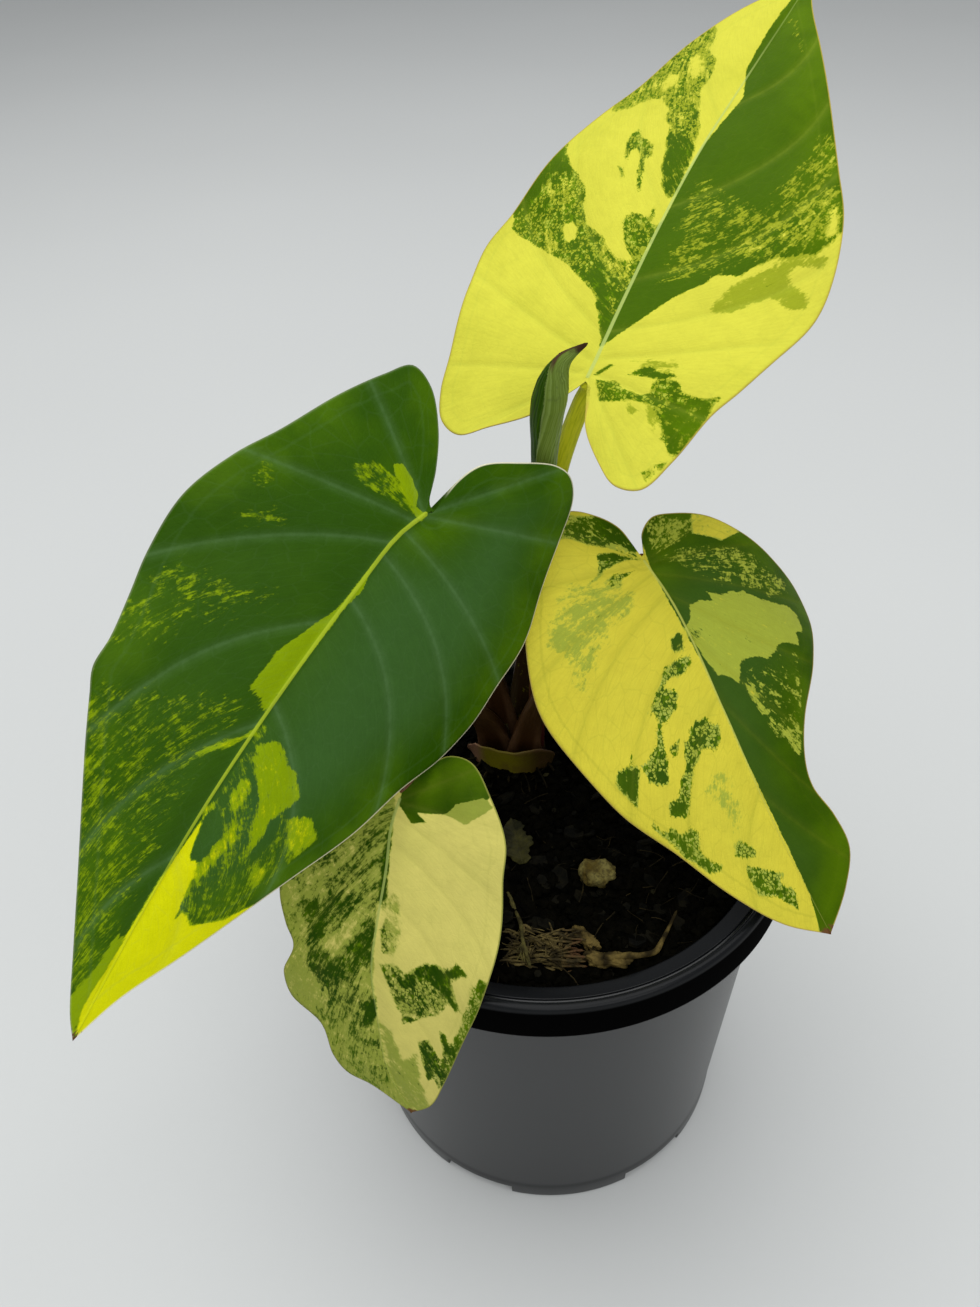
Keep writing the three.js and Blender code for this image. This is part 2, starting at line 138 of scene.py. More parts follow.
def calculate(operation, *values):
    """The result of one sum on signals and numbers."""
    return put(tree_of(*values), "ShaderNodeMath", dict(enumerate(values)), operation=operation)


def vector_math(operation, *vectors, out=0):
    inputs = dict(enumerate(vectors))
    return put(tree_of(*vectors), "ShaderNodeVectorMath", inputs, out, operation=operation)


def all_outputs(signal):
    """Every output of the node that a signal comes from."""
    return [Signal(signal.tree, socket) for socket in signal.socket.node.outputs]


def parts(vector):
    """The three numbers of a vector or a colour."""
    return all_outputs(put(vector.tree, "ShaderNodeSeparateXYZ", {0: vector}))


def colour(red, green, blue):
    """A colour as it is seen, 0 to 255, as the linear value that a shader takes."""
    seen = np.array([red, green, blue]) / 255
    linear = np.where(seen <= 0.04045, seen / 12.92, ((seen + 0.055) / 1.055) ** 2.4)
    return (*linear, 1.0)


def ramp(value, low, high, start=0.0, end=1.0):
    """A smooth step: start where the value is at low, and end where it is at high."""
    inputs = {"Value": value, "From Min": low, "From Max": high, "To Min": start, "To Max": end}
    return put(value.tree, "ShaderNodeMapRange", inputs, interpolation_type="SMOOTHSTEP")


def mix(share, first, second, blend="MIX"):
    """Two colours mixed by a share. At least one of the three is a signal."""
    inputs = {0: share, 6: first, 7: second}
    tree = tree_of(share, first, second)
    return put(tree, "ShaderNodeMix", inputs, 2, data_type="RGBA", blend_type=blend)


def texture(vector, scale, detail=3, roughness=0.6, seed=0):
    """Soft noise from 0 to 1 at this many grains per unit of the vector."""
    inputs = {"Vector": vector, "W": seed, "Scale": scale, "Detail": detail, "Roughness": roughness}
    return put(vector.tree, "ShaderNodeTexNoise", inputs, noise_dimensions="4D")


def new_material(name):
    """A material, and the place in the object that its textures read."""
    material = bpy.data.materials.new(name)
    material.use_nodes = True
    return material, put(material.node_tree, "ShaderNodeTexCoord", out="Object")


def finished(material, base, rough, specular, relief, depth, strength, **others):
    """Sets or links the main shader's inputs, and raises a relief from 0 to 1 over a depth in metres."""
    shader = material.node_tree.nodes["Principled BSDF"]
    inputs = {"Height": relief, "Distance": depth, "Strength": strength}
    normal = put(material.node_tree, "ShaderNodeBump", inputs)
    inputs = {"Base Color": base, "Roughness": rough, "Specular IOR Level": specular, "Normal": normal}
    for name, value in {**inputs, **others}.items():
        plug(shader.inputs[name.replace("_", " ")], value)
    return material


def eased(profile):
    """The profile with each corner turned into a short bend."""
    points = [np.array(profile[0][:2], float)]
    for before, (r, z, ease), after in zip(profile, profile[1:], profile[2:]):
        corner = np.array([r, z], float)
        back = np.array(before[:2]) - corner
        ahead = np.array(after[:2]) - corner
        start = corner + back / np.linalg.norm(back) * min(ease, np.linalg.norm(back) / 2)
        end = corner + ahead / np.linalg.norm(ahead) * min(ease, np.linalg.norm(ahead) / 2)
        for u in np.linspace(0, 1, BEND_STEPS):
            points.append((1 - u) ** 2 * start + 2 * u * (1 - u) * corner + u**2 * end)
    points.append(np.array(profile[-1][:2], float))
    return np.array(points)


def all_round(count):
    """The even turns of this many points round a circle, in radians."""
    return np.linspace(0, 2 * math.pi, count, endpoint=False)


def tube_faces(rings, sides):
    """Faces of a closed tube, from its points in rings and then the middle of its foot and its top."""
    faces = []
    for a in range(0, (rings - 1) * sides, sides):
        for j in range(sides):
            k = (j + 1) % sides
            faces.append((a + j, a + k, a + sides + k, a + sides + j))
    foot = rings * sides
    last = foot - sides
    for j in range(sides):
        k = (j + 1) % sides
        faces.append((foot, k, j))
        faces.append((foot + 1, last + j, last + k))
    return faces


def ring_points(radii, heights, sides):
    """Points in rings about Z, one ring for each radius and height."""
    angles = all_round(sides)
    x = np.outer(radii, np.cos(angles))
    y = np.outer(radii, np.sin(angles))
    z = np.repeat(np.reshape(heights, (-1, 1)), sides, axis=1)
    return np.stack([x, y, z], -1).reshape(-1, 3)


def mesh_of(name, points, faces):
    """A smooth mesh in metres from points in millimetres."""
    mesh = bpy.data.meshes.new(name)
    mesh.from_pydata(np.asarray(points, float) * MM, [], faces)
    mesh.shade_smooth()
    return mesh


def add_piece(name, mesh, material, stands_for=None):
    """Shows a finished mesh as a piece of the object, in place of a CAD node if one is named."""
    mesh.materials.clear()
    mesh.materials.append(material)
    piece = add_object(name, mesh)
    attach(piece, "root")
    if stands_for:
        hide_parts(stands_for)


def add_object(name, data):
    """Puts a mesh, a light or a camera into the scene."""
    added = bpy.data.objects.new(name, data)
    bpy.context.collection.objects.link(added)
    return added


def evaluated_mesh(blank):
    """The plain mesh of an object with its modifiers worked in. The object is then removed."""
    view = bpy.context.evaluated_depsgraph_get()
    mesh = bpy.data.meshes.new_from_object(blank.evaluated_get(view))
    bpy.data.objects.remove(blank)
    return mesh


def pot_material():
    material, place = new_material("black_polypropylene")
    clouds = texture(place, 45, 4)
    grain = texture(place, 2600, 2, 0.5)
    scuffs = ramp(texture(place, 260, 6, 0.75), 0.56, 0.8)
    base = mix(clouds, colour(10, 11, 12), colour(16, 18, 20))
    base = mix(scuffs * 0.12, base, colour(50, 50, 48))
    height = parts(place)[2]
    radius = vector_math("LENGTH", vector_math("MULTIPLY", place, (1, 1, 0)), out="Value")

    def past(value, edge, blur):
        """From 0 to 1 where a value in metres passes an edge in millimetres."""
        return ramp(value, (edge - blur) * MM, (edge + blur) * MM)

    lip = past(height, LIP_FOOT, 0.4)
    # The skirt band is painted near black and loses its gloss: painted shade that stands in for the dark
    # reflection the skirt shows. Its plastic is the same as the wall's.
    painted_shade_skirt = past(height, SKIRT_FOOT, 0.2) * (1 - lip) * past(radius, SKIRT_INSIDE, 0.3)
    shelf = past(height, SHELF_FOOT, 0.5) * (1 - past(radius, SHELF_OUTER_RADIUS, 0.3))
    inner_lip = past(radius, LIP_INSIDE, 0.25) * lip
    gloss = POT_GLOSS - painted_shade_skirt * SKIRT_SHADE_DULLING - shelf * SHELF_DULLING - inner_lip * LIP_DULLING
    base = mix(painted_shade_skirt, base, colour(1, 1, 1))
    rough = ramp(clouds, 0.3, 0.7, 0.3, 0.38) + scuffs * 0.1
    return finished(
        material, base, rough, 0, grain * 0.5 + clouds * 0.5, 0.00005, 0.35, Coat_Weight=gloss,
        Coat_Roughness=0.26, Coat_IOR=1.5
    )


def pot_mesh():
    """The profile turned about Z, with the notches cut out of its foot."""
    profile = eased(POT_PROFILE)
    rings = ring_points(profile[1:-1, 0], profile[1:-1, 1], POT_SIDES)
    poles = [[0, 0, profile[0][1]], [0, 0, profile[-1][1]]]
    body = mesh_of("pot_blank", np.vstack([rings, poles]), tube_faces(len(profile) - 2, POT_SIDES))
    cutter = bmesh.new()
    for i in range(NOTCH_COUNT):
        turn = Matrix.Rotation(math.radians(NOTCH_FIRST_DEGREES + 360 * i / NOTCH_COUNT), 4, "Z")
        shift = Matrix.Translation((POT_WALL_BASE_RADIUS * MM, 0, 0))
        size = Matrix.Diagonal((NOTCH_DEPTH * MM, NOTCH_WIDTH * MM, 2 * NOTCH_HEIGHT * MM, 1))
        bmesh.ops.create_cube(cutter, size=1, matrix=turn @ shift @ size)
    boxes = bpy.data.meshes.new("notches")
    cutter.to_mesh(boxes)
    cutter.free()
    cut = add_object("notches", boxes)
    blank = add_object("pot_blank", body)
    modifier = blank.modifiers.new("notches", "BOOLEAN")
    modifier.operation = "DIFFERENCE"
    modifier.solver = "EXACT"
    modifier.object = cut
    mesh = evaluated_mesh(blank)
    bpy.data.objects.remove(cut)
    mesh.set_sharp_from_angle(angle=math.radians(SHARP_DEGREES))
    return mesh


add_piece("nursery_pot", pot_mesh(), pot_material(), "pot")


# Potting mix
# A dark peat and bark mix, pressed into the pot up to the shelf, its colours darkened further as painted
# shade. The body of it is one lumpy mass, and the crumbs, flakes and fine roots that make up its top
# are strewn over that.

SOIL_LEVEL = POT_HEIGHT - 5.6
SOIL_EDGE_RISE = 2
SOIL_RELIEF = 1.1
SOIL_RADIUS = SHELF_INNER_RADIUS - 0.4
SOIL_FOOT_RADIUS = 40.2
SOIL_FOOT = 2.1
SOIL_RINGS = 88
SOIL_SIDES = 264
SOIL_FADE = 2
BARE_EDGE = 1.2
BARE_DEPTH = 6

# The height, the width and the seed of its large lumps and of its small ones.
SOIL_LUMPS = [(1.5, 7, 1), (0.5, 1.8, 2)]

# Places on the mix that carry something larger and stay free of crumbs: x, y and radius.
COVERED = [(-6.2, 21.8, 8), (11.5, -18.4, 3), (-5.8, -9, 5), (0.4, -38.4, 5), (8, -38.4, 3)]


def ripple(x, y, seed):
    slow = 0.45 * np.sin(0.31 * x + seed) * np.cos(0.27 * y - 1.7 * seed)
    slant = 0.35 * np.sin(0.13 * x - 0.19 * y + 2.3 * seed)
    return slow + slant + 0.2 * np.cos(0.47 * x + 0.41 * y + 0.9 * seed)


def soil_height(x, y):
    rise = SOIL_EDGE_RISE * (np.hypot(x, y) / SHELF_INNER_RADIUS) ** 4
    return SOIL_LEVEL + rise + SOIL_RELIEF * ripple(x, y, 1.3)


def roughness_of(points, grain, seed, octaves=3):
    """Fractal noise at each point, with lumps about as wide as the grain in millimetres."""
    shift = Vector((seed * 17.3, seed * 5.1, seed * 9.7))
    return np.array([noise.fractal(Vector(p) / grain + shift, 1.0, 2.0, octaves) for p in points])


def mark(mesh, name, values):
    """Keeps a number or a vector for each point of a mesh, for nodes to read."""
    kind, field = ("FLOAT_VECTOR", "vector") if np.ndim(values) == 2 else ("FLOAT", "value")
    mesh.attributes.new(name, kind, "POINT").data.foreach_set(field, np.ravel(values))


def soil_mesh():
    """The body of the mix, with the share of its top that lies bare and can carry crumbs."""
    radii = SOIL_RADIUS * np.linspace(0, 1, SOIL_RINGS + 1)[1:]
    top = ring_points(radii, np.zeros(SOIL_RINGS), SOIL_SIDES)
    away = np.hypot(top[:, 0], top[:, 1])
    lumps = sum(height * roughness_of(top, width, seed) for height, width, seed in SOIL_LUMPS)
    lumps *= np.clip((SOIL_RADIUS - away) / SOIL_FADE, 0, 1)
    top[:, 2] = soil_height(top[:, 0], top[:, 1]) + lumps
    foot = ring_points([SOIL_FOOT_RADIUS], [SOIL_FOOT], SOIL_SIDES)
    points = np.vstack([top, foot, [[0, 0, soil_height(0, 0)], [0, 0, SOIL_FOOT]]])
    faces = [(face[0], *face[:0:-1]) for face in tube_faces(SOIL_RINGS + 1, SOIL_SIDES)]
    mesh = mesh_of("soil", points, faces)
    bare = np.ones(len(points))
    for x, y, r in COVERED:
        bare *= np.clip(np.hypot(points[:, 0] - x, points[:, 1] - y) - r, 0, 1)
    bare[np.hypot(points[:, 0], points[:, 1]) > SOIL_RADIUS - BARE_EDGE] = 0
    bare[points[:, 2] < SOIL_LEVEL - BARE_DEPTH] = 0
    mark(mesh, "bare", bare)
    return mesh


def group_inputs(tree, **names):
    """Gives a node group inputs of these names by their kind, and hands them back."""
    for kind, labels in names.items():
        for label in labels:
            tree.interface.new_socket(name=label, in_out="INPUT", socket_type="NodeSocket" + kind)
    made = tree.nodes.new("NodeGroupInput")
    return {socket.name: Signal(tree, socket) for socket in made.outputs}


def strewing(name, kind, shape, deform):
    """A Geometry Nodes tree that strews a small shape over a mesh, where its bare attribute is 1."""
    tree = bpy.data.node_groups.new(name, "GeometryNodeTree")
    tree.interface.new_socket(name="Geometry", in_out="OUTPUT", socket_type="NodeSocketGeometry")
    given = group_inputs(
        tree, Geometry=["Ground"], Int=["Seed"], Material=["Material"],
        Float=["Pieces Per Square Metre", "Smallest", "Largest", "Flatness", "Lift"]
    )
    seed, smallest = given["Seed"], given["Smallest"]
    bare = put(tree, "GeometryNodeInputNamedAttribute", {"Name": "bare"}, "Attribute", data_type="FLOAT")
    inputs = {"Mesh": given["Ground"], "Density": bare * given["Pieces Per Square Metre"], "Seed": seed}
    spread = put(tree, "GeometryNodeDistributePointsOnFaces", inputs, "Points")
    inputs = {0: (-0.5, -0.5, 0), 1: (0.5, 0.5, math.tau), "Seed": seed}
    turn = put(tree, "FunctionNodeRandomValue", inputs, data_type="FLOAT_VECTOR")
    share = put(tree, "FunctionNodeRandomValue", {2: 0.0, 3: 1.0, "Seed": seed + 1}, 1, data_type="FLOAT")
    length = calculate("POWER", share, 2.5) * (given["Largest"] - smallest) + smallest
    inputs = {0: (0.7, 0.6, 0.6), 1: (1.4, 1.0, 1.0), "Seed": seed + 2}
    stretch = put(tree, "FunctionNodeRandomValue", inputs, data_type="FLOAT_VECTOR")
    flatten = put(tree, "ShaderNodeCombineXYZ", {"X": 1.0, "Y": 1.0, "Z": given["Flatness"]})
    scale = vector_math("MULTIPLY", vector_math("MULTIPLY", stretch, length), flatten)
    inputs = {"Points": spread, "Instance": put(tree, kind, shape), "Rotation": turn, "Scale": scale}
    made = put(tree, "GeometryNodeInstanceOnPoints", inputs)
    made = put(tree, "GeometryNodeRealizeInstances", {"Geometry": made})
    inputs = {"Vector": put(tree, "GeometryNodeInputPosition"), "Scale": deform, "Detail": 1.0}
    wobble = put(tree, "ShaderNodeTexNoise", inputs, "Color", noise_dimensions="3D")
    wobble = vector_math("MULTIPLY", vector_math("SUBTRACT", wobble, (0.5, 0.5, 0.5)), smallest)
    raised = put(tree, "ShaderNodeCombineXYZ", {"Z": given["Lift"]})
    inputs = {"Geometry": made, "Offset": vector_math("ADD", wobble, raised)}
    made = put(tree, "GeometryNodeSetPosition", inputs)
    made = put(tree, "GeometryNodeSetMaterial", {"Geometry": made, "Material": given["Material"]})
    put(tree, "NodeGroupOutput", {"Geometry": made})
    return tree


def strewn_mesh(ground, tree, **sizes):
    """The plain mesh of what a strewing tree makes on this ground, with its inputs given by name."""
    blank = add_object("strewn", ground)
    modifier = blank.modifiers.new("strewing", "NODES")
    modifier.node_group = tree
    for socket in tree.interface.items_tree:
        label = socket.name.replace(" ", "_")
        if socket.in_out == "INPUT" and label in sizes:
            modifier[socket.identifier] = sizes[label]
    return evaluated_mesh(blank)


def grainy_material(name, dark, light, fleck, patches, grains, flecked=(0.4, 0.7, 0.4), rough=(0.9, 0.65),
                    specular=0.05, relief=(0.0002, 0.6), lumpy=0, spread=0.15, tint=None):
    """A dull, grainy finish: patches of two colours with flecks of a third. Patches and grains give
    their noise: grains per metre, detail, roughness and seed. A tint changes the patches' colour."""
    material, place = new_material(name)
    patches = texture(place, *patches)
    grains = texture(place, *grains)
    base = mix(ramp(patches, 0.5 - spread, 0.5 + spread), colour(*dark), colour(*light))
    if tint:
        base = tint(place, patches, base)
    base = mix(ramp(grains, *flecked[:2], 0, flecked[2]), base, colour(*fleck))
    height = grains * lumpy + patches if lumpy else grains
    rough = ramp(grains, 0.3, 0.7, *rough)
    return finished(material, base, rough, specular, height, *relief)


def speck_material(name, dark, light, seed):
    """The finish of small bits of bark, wood and root."""
    return grainy_material(name, dark, light, dark, (380, 2, 0.5, seed), (2600, 3, 0.6, seed))


def rootlets_tree():
    """The strewing of thin bent rootlets, whose shape is a swept line."""
    tree = strewing("rootlets", "GeometryNodeCurveToMesh", {"Fill Caps": True}, 180.0)
    sweep = next(node for node in tree.nodes if node.bl_idname == "GeometryNodeCurveToMesh")
    line = {"Start": (-1, 0, 0), "Middle": (0, 0.6, 0.25), "End": (1, -0.1, 0), "Resolution": 7}
    plug(sweep.inputs["Curve"], put(tree, "GeometryNodeCurveQuadraticBezier", line))
    ring = {"Resolution": 4, "Radius": 0.035}
    plug(sweep.inputs["Profile Curve"], put(tree, "GeometryNodeCurvePrimitiveCircle", ring))
    return tree


soil = soil_mesh()
# The mix and its crumbs, bark flakes, rootlets and pale specks are coloured close to black: the mix's own
# dark tone, darkened further as painted shade from the pot and the leaves above.
mix_finish = grainy_material(
    "potting_mix", (1, 1, 0), (6, 5, 2), (17, 15, 7), (420, 4, 0.7), (1500, 3, 0.6, 4),
    flecked=(0.62, 0.8, 0.4), rough=(0.95, 0.7), specular=0.02, relief=(0.0006, 0.8), lumpy=0.5,
    spread=0.12
)
root_finish = speck_material("mix_rootlets", (12, 10, 4), (40, 33, 16), 5)
bark_finish = speck_material("mix_bark", (3, 3, 1), (16, 14, 6), 2)
pale_finish = speck_material("mix_pale_specks", (24, 22, 10), (60, 55, 32), 9)
crumbs = strewing("crumbs", "GeometryNodeMeshIcoSphere", {"Radius": 1.0, "Subdivisions": 1}, 900.0)
flake = {"Vertices": 6, "Side Segments": 1, "Radius": 1.0, "Depth": 1.0}
flakes = strewing("flakes", "GeometryNodeMeshCylinder", flake, 500.0)

add_piece("potting_mix", soil.copy(), mix_finish, "soil")

# Each layer strewn on top: how many lie on a square metre, how large they are, flatness, lift and seed.
for name, tree, material, count, smallest, largest, flatness, lift, seed in (
    ("mix_crumbs", crumbs, mix_finish, 1.1e6, 0.4, 2.1, 0.8, 0, 3),
    ("mix_bark_flakes", flakes, bark_finish, 6e4, 0.7, 2.6, 0.3, 0.6, 8),
    ("mix_rootlets", rootlets_tree(), root_finish, 2.2e4, 2.2, 6, 0.8, 0.6, 21),
    ("mix_pale_specks", crumbs, pale_finish, 3e3, 0.25, 0.9, 0.8, 0.8, 33),
):
    mesh = strewn_mesh(
        soil, tree, Pieces_Per_Square_Metre=count, Smallest=smallest * MM, Largest=largest * MM,
        Flatness=flatness, Lift=lift * MM, Seed=seed, Material=material
    )
    add_piece(name, mesh, material)


# Bits on the mix
# What lies on top of the mix: a grain of pumice, a scrap of dead leaf, a mat of old root fibres with
# one loose root strand, chips of bark and a bent twig. They only rest on it.

# Each one's place, its half sizes, and how far it is turned about Z in degrees.
PEBBLE = ((11.5, -18.4, 89.9), (3.9, 3.0, 2.6), 0)
SCRAP = ((-5.8, -9, 89.3), (3.4, 6.3, 0.9), 12)
BARK_CHIP = ((12, -39.8, 90.6), (4.4, 1.5, 1.2), -4)
BARK_CRUMB = ((7.8, -34.6, 90), (3.6, 1.4, 1.1), -50)
MAT_PLACE, MAT_HALF = (-0.6, -37.4, 90.5), np.array([9.2, 5.8, 1.8])
MAT_FIBRES = 190
STRAND = [(-7.6, -22, 88.6), (-6, -27.2, 89.6), (-4.7, -32.4, 91.6), (-4.2, -37.6, 93.1), (-2.9, -42.6, 92.4)]
STRAND_FRAYS = 9
TWIG = [
    (11, -40, 91.2), (14.5, -39.8, 91.7), (18.5, -39.4, 91.5), (21, -38.4, 91.2), (22.4, -36, 90.9),
    (24, -32.8, 90.8), (26, -29, 91.4),
]


def smooth_curve(stops, count):
    """This many points at even steps along a centripetal Catmull-Rom curve through the stops."""
    stops = np.asarray(stops, float)
    stops = np.vstack([2 * stops[0] - stops[1], stops, 2 * stops[-1] - stops[-2]])
    pieces = []
    for a, b, c, d in zip(stops, stops[1:], stops[2:], stops[3:]):
        t1 = np.linalg.norm(b - a) ** 0.5
        t2 = t1 + np.linalg.norm(c - b) ** 0.5
        t3 = t2 + np.linalg.norm(d - c) ** 0.5
        t = np.linspace(t1, t2, 24, endpoint=False)[:, None]
        ab = a + (b - a) * t / t1
        bc = b + (c - b) * (t - t1) / (t2 - t1)
        cd = c + (d - c) * (t - t2) / (t3 - t2)
        abc = ab + (bc - ab) * t / t2
        bcd = bc + (cd - bc) * (t - t1) / (t3 - t1)
        pieces.append(abc + (bcd - abc) * (t - t1) / (t2 - t1))
    path = np.vstack([*pieces, stops[-2][None]])
    reach = np.concatenate([[0], np.cumsum(np.linalg.norm(np.diff(path, axis=0), axis=1))])
    even = np.linspace(0, reach[-1], count)
    return np.stack([np.interp(even, reach, path[:, k]) for k in range(path.shape[1])], -1)


def swept(path, section):
    """Points and faces of a closed rod along a path. Section gives, for each point of the path, the
    radius in every direction round it, counted from the viewer's side."""
    section = np.asarray(section, float)
    count, sides = section.shape
    ahead = np.gradient(path, axis=0)
    ahead /= np.linalg.norm(ahead, axis=1)[:, None]
    toward = np.array([0.0, -1.0, 0.0])
    rings = []
    angles = all_round(sides)
    for spot, way, radii in zip(path, ahead, section):
        toward = toward - way * np.dot(toward, way)
        toward /= np.linalg.norm(toward)
        beside = np.cross(way, toward)
        ring = np.outer(np.cos(angles), toward) + np.outer(np.sin(angles), beside)
        rings.append(spot + ring * radii[:, None])
    return np.vstack([*rings, path[0][None], path[-1][None]]), tube_faces(count, sides)


def strand(stops, radius, sides, count, seed, taper=1):
    """Points and faces of a thin root or twig, a little uneven and closed at both ends."""
    path = smooth_curve(stops, count)
    uneven = (1 + 0.3 * roughness_of(path, 2.5, seed)) * np.linspace(1, taper, count)
    ends = np.clip(np.minimum(np.arange(count), np.arange(count)[::-1]) / 2 + 0.3, 0, 1)
    return swept(path, np.outer(radius * uneven * ends, np.ones(sides)))


def joined_mesh(name, strands):
    """One mesh out of the points and faces of several strands."""
    points = []
    faces = []
    for strand_points, strand_faces in strands:
        faces += [tuple(k + len(points) for k in face) for face in strand_faces]
        points.extend(strand_points)
    return mesh_of(name, points, faces)


def turned(points, degrees):
    """The points turned about Z."""
    cos, sin = math.cos(math.radians(degrees)), math.sin(math.radians(degrees))
    x, y, z = points.T
    return np.stack([x * cos - y * sin, x * sin + y * cos, z], -1)


def lump_mesh(name, spec, grain, depth, blocky, seed):
    """A rough stone or chip that fills its half sizes, squarer where blocky is high."""
    place, half, turn = spec
    ball = bmesh.new()
    bmesh.ops.create_icosphere(ball, subdivisions=5, radius=1)
    points = np.array([v.co for v in ball.verts])
    faces = [tuple(v.index for v in f.verts) for f in ball.faces]
    ball.free()
    reach = (np.abs(points) ** blocky).sum(1) ** (-1 / blocky)
    points = points * reach[:, None] * half
    points *= (1 + depth * (roughness_of(points, grain, seed, 5) - 0.25))[:, None]
    return mesh_of(name, turned(points, turn) + place, faces)


def sheet_faces(rows, columns):
    """Faces of a thin sheet, from the grid of points of its one side and then of its other."""
    count = rows * columns
    faces = []
    for i in range(rows - 1):
        for j in range(columns - 1):
            a, b = i * columns + j, (i + 1) * columns + j
            faces.append((a, b, b + 1, a + 1))
            faces.append((count + a, count + a + 1, count + b + 1, count + b))
    rim = [i * columns for i in range(rows)] + [(rows - 1) * columns + j for j in range(1, columns)]
    rim += [i * columns + columns - 1 for i in range(rows - 2, -1, -1)] + list(range(columns - 2, 0, -1))
    for a, b in zip(rim, rim[1:] + rim[:1]):
        faces.append((b, a, count + a, count + b))
    return faces


def welded(mesh, reach=1e-6, outwards=True):
    """The mesh with its coincident points merged, and its faces turned outwards unless told not to."""
    work = bmesh.new()
    work.from_mesh(mesh)
    bmesh.ops.remove_doubles(work, verts=work.verts, dist=reach)
    if outwards:
        bmesh.ops.recalc_face_normals(work, faces=work.faces)
    work.to_mesh(mesh)
    work.free()
    mesh.shade_smooth()
    return mesh


def bell(away, width):
    """From 1 in the middle down to nothing, about this width away from it."""
    return np.exp(-((away / width) ** 2))


def scrap_mesh():
    """A dead scrap of leaf: a thin curled sheet with a midrib, torn at its edge."""
    place, half, turn = SCRAP
    rows, columns, half_thickness = 70, 36, 0.14
    u, v = np.meshgrid(np.linspace(-1, 1, rows), np.linspace(-1, 1, columns), indexing="ij")
    torn = 1 + 0.22 * np.sin(7 * u + 2 * v) + 0.1 * np.sin(23 * u)
    x = half[0] * v * (1 - np.abs(u) ** 2.6) ** 0.6 * torn * 0.84
    y = half[1] * u
    curl = 0.55 * half[2] * (np.cos(1.5 * v) + 0.4 * np.sin(2.2 * u + 1))
    ribs = 0.13 * np.cos((y - np.abs(x) * 0.8) * 3.6) * np.clip(np.abs(v) * 2, 0, 1)
    z = curl + 0.35 * bell(x, 0.35) + ribs - 0.35
    sheets = [np.stack([x, y, z + lift], -1).reshape(-1, 3) for lift in (half_thickness, -half_thickness)]
    return welded(mesh_of("scrap", turned(np.vstack(sheets), turn) + place, sheet_faces(rows, columns)))


def mat_mesh(random):
    """Old root fibres, each a short bent strand, felted into a flat mat."""
    fibres = []
    for i in range(MAT_FIBRES):
        middle = random.uniform(-0.72, 0.72, 3) * MAT_HALF
        turn = random.normal(0, 0.1 if middle[1] < -0.3 * MAT_HALF[1] else 0.9)
        length = random.uniform(2, 5.2)
        way = np.array([math.cos(turn), math.sin(turn) * 0.7, random.uniform(-0.12, 0.12)]) * length / 2
        bend = np.array([0, random.uniform(-1, 1), random.uniform(-0.2, 0.5)])
        stops = [middle - way, middle - way * 0.3 + bend * 0.6, middle + way * 0.4 + bend * 0.4, middle + way]
        stops = np.clip(stops, -MAT_HALF * 0.93, MAT_HALF * 0.93) + MAT_PLACE
        fibres.append(strand(stops, random.uniform(0.1, 0.3), 5, 12, i))
    return joined_mesh("mat", fibres)


def frayed_strand_mesh(random):
    """A root strand whose far end splits into thin frays."""
    strands = [strand(STRAND, 0.4, 10, 60, 4)]
    end = np.array(STRAND[-2])
    for i in range(STRAND_FRAYS):
        way = np.array([random.uniform(-1.6, 2.2), random.uniform(-4.6, -2.4), random.uniform(-0.7, 0.3)])
        side = np.array([random.uniform(-0.5, 0.5), 0, random.uniform(0, 0.4)])
        strands.append(strand([end, end + way * 0.5 + side, end + way], 0.13, 5, 14, i))
    return joined_mesh("strand", strands)


def old_root_material(name, dark, light, pink):
    """The finish of dead roots, with patches of a third colour at the viewer's right."""
    def tint(place, patches, base):
        share = ramp(parts(place)[0], 0.002, 0.006) * ramp(patches, 0.42, 0.55)
        return mix(share, base, colour(*pink))

    return grainy_material(
        name, dark, light, dark, (330,), (2200, 3, 0.7, 3), (0.45, 0.7, 0.5), (0.9, 0.6), 0.1, (0.00015, 0.6),
        tint=tint
    )


random = np.random.default_rng(4)
bark = speck_material("bark", (30, 24, 10), (92, 78, 40), 12)
# The pumice grain and the root mat are coloured darker than they are, as painted shade inside the pot. The
# pumice's yellow cast is painted light that has passed through the leaves.
stone = grainy_material(
    "pumice", (72, 60, 20), (108, 100, 54), (46, 40, 24), (300,), (1700, 3, 0.6, 3), (0.55, 0.38, 0.55),
    (0.95, 0.8), 0.1, (0.0004, 0.8), 0.6
)
dead_leaf = grainy_material(
    "dead_leaf", (24, 24, 8), (52, 50, 20), (16, 14, 8), (240,), (1800, 3, 0.6, 3), (0.5, 0.75, 0.6),
    (0.7, 0.5), 0.1, (0.0002, 0.5)
)
mat_finish = old_root_material("root_mat", (34, 28, 12), (92, 80, 44), (70, 48, 28))
strand_finish = old_root_material("root_strand", (36, 32, 12), (84, 78, 38), (84, 78, 38))

add_piece("pumice_grain", lump_mesh("grain", PEBBLE, 3.0, 0.28, 2.5, 2), stone, "perlite_grain")
add_piece("dead_leaf_scrap", scrap_mesh(), dead_leaf, "leaf_scrap")
add_piece("root_mat", mat_mesh(random), mat_finish, "fibre_mat")
add_piece("loose_root", frayed_strand_mesh(random), strand_finish, "root_strand")
add_piece("bark_chip_long", lump_mesh("chip", BARK_CHIP, 1.6, 0.35, 4, 5), bark, "bark_chip")
add_piece("bark_chip_small", lump_mesh("crumb", BARK_CRUMB, 1.4, 0.4, 3, 8), bark, "bark_crumb")
add_piece("bent_twig", mesh_of("twig", *strand(TWIG, 0.75, 12, 80, 6, 0.35)), bark, "twig")


# Stem base and old sheath
# The short upright stem that all stalks rise from, dark red brown and ringed with the torn foot of
# each older sheath. One older sheath still stands round its front, with a dry pink edge.

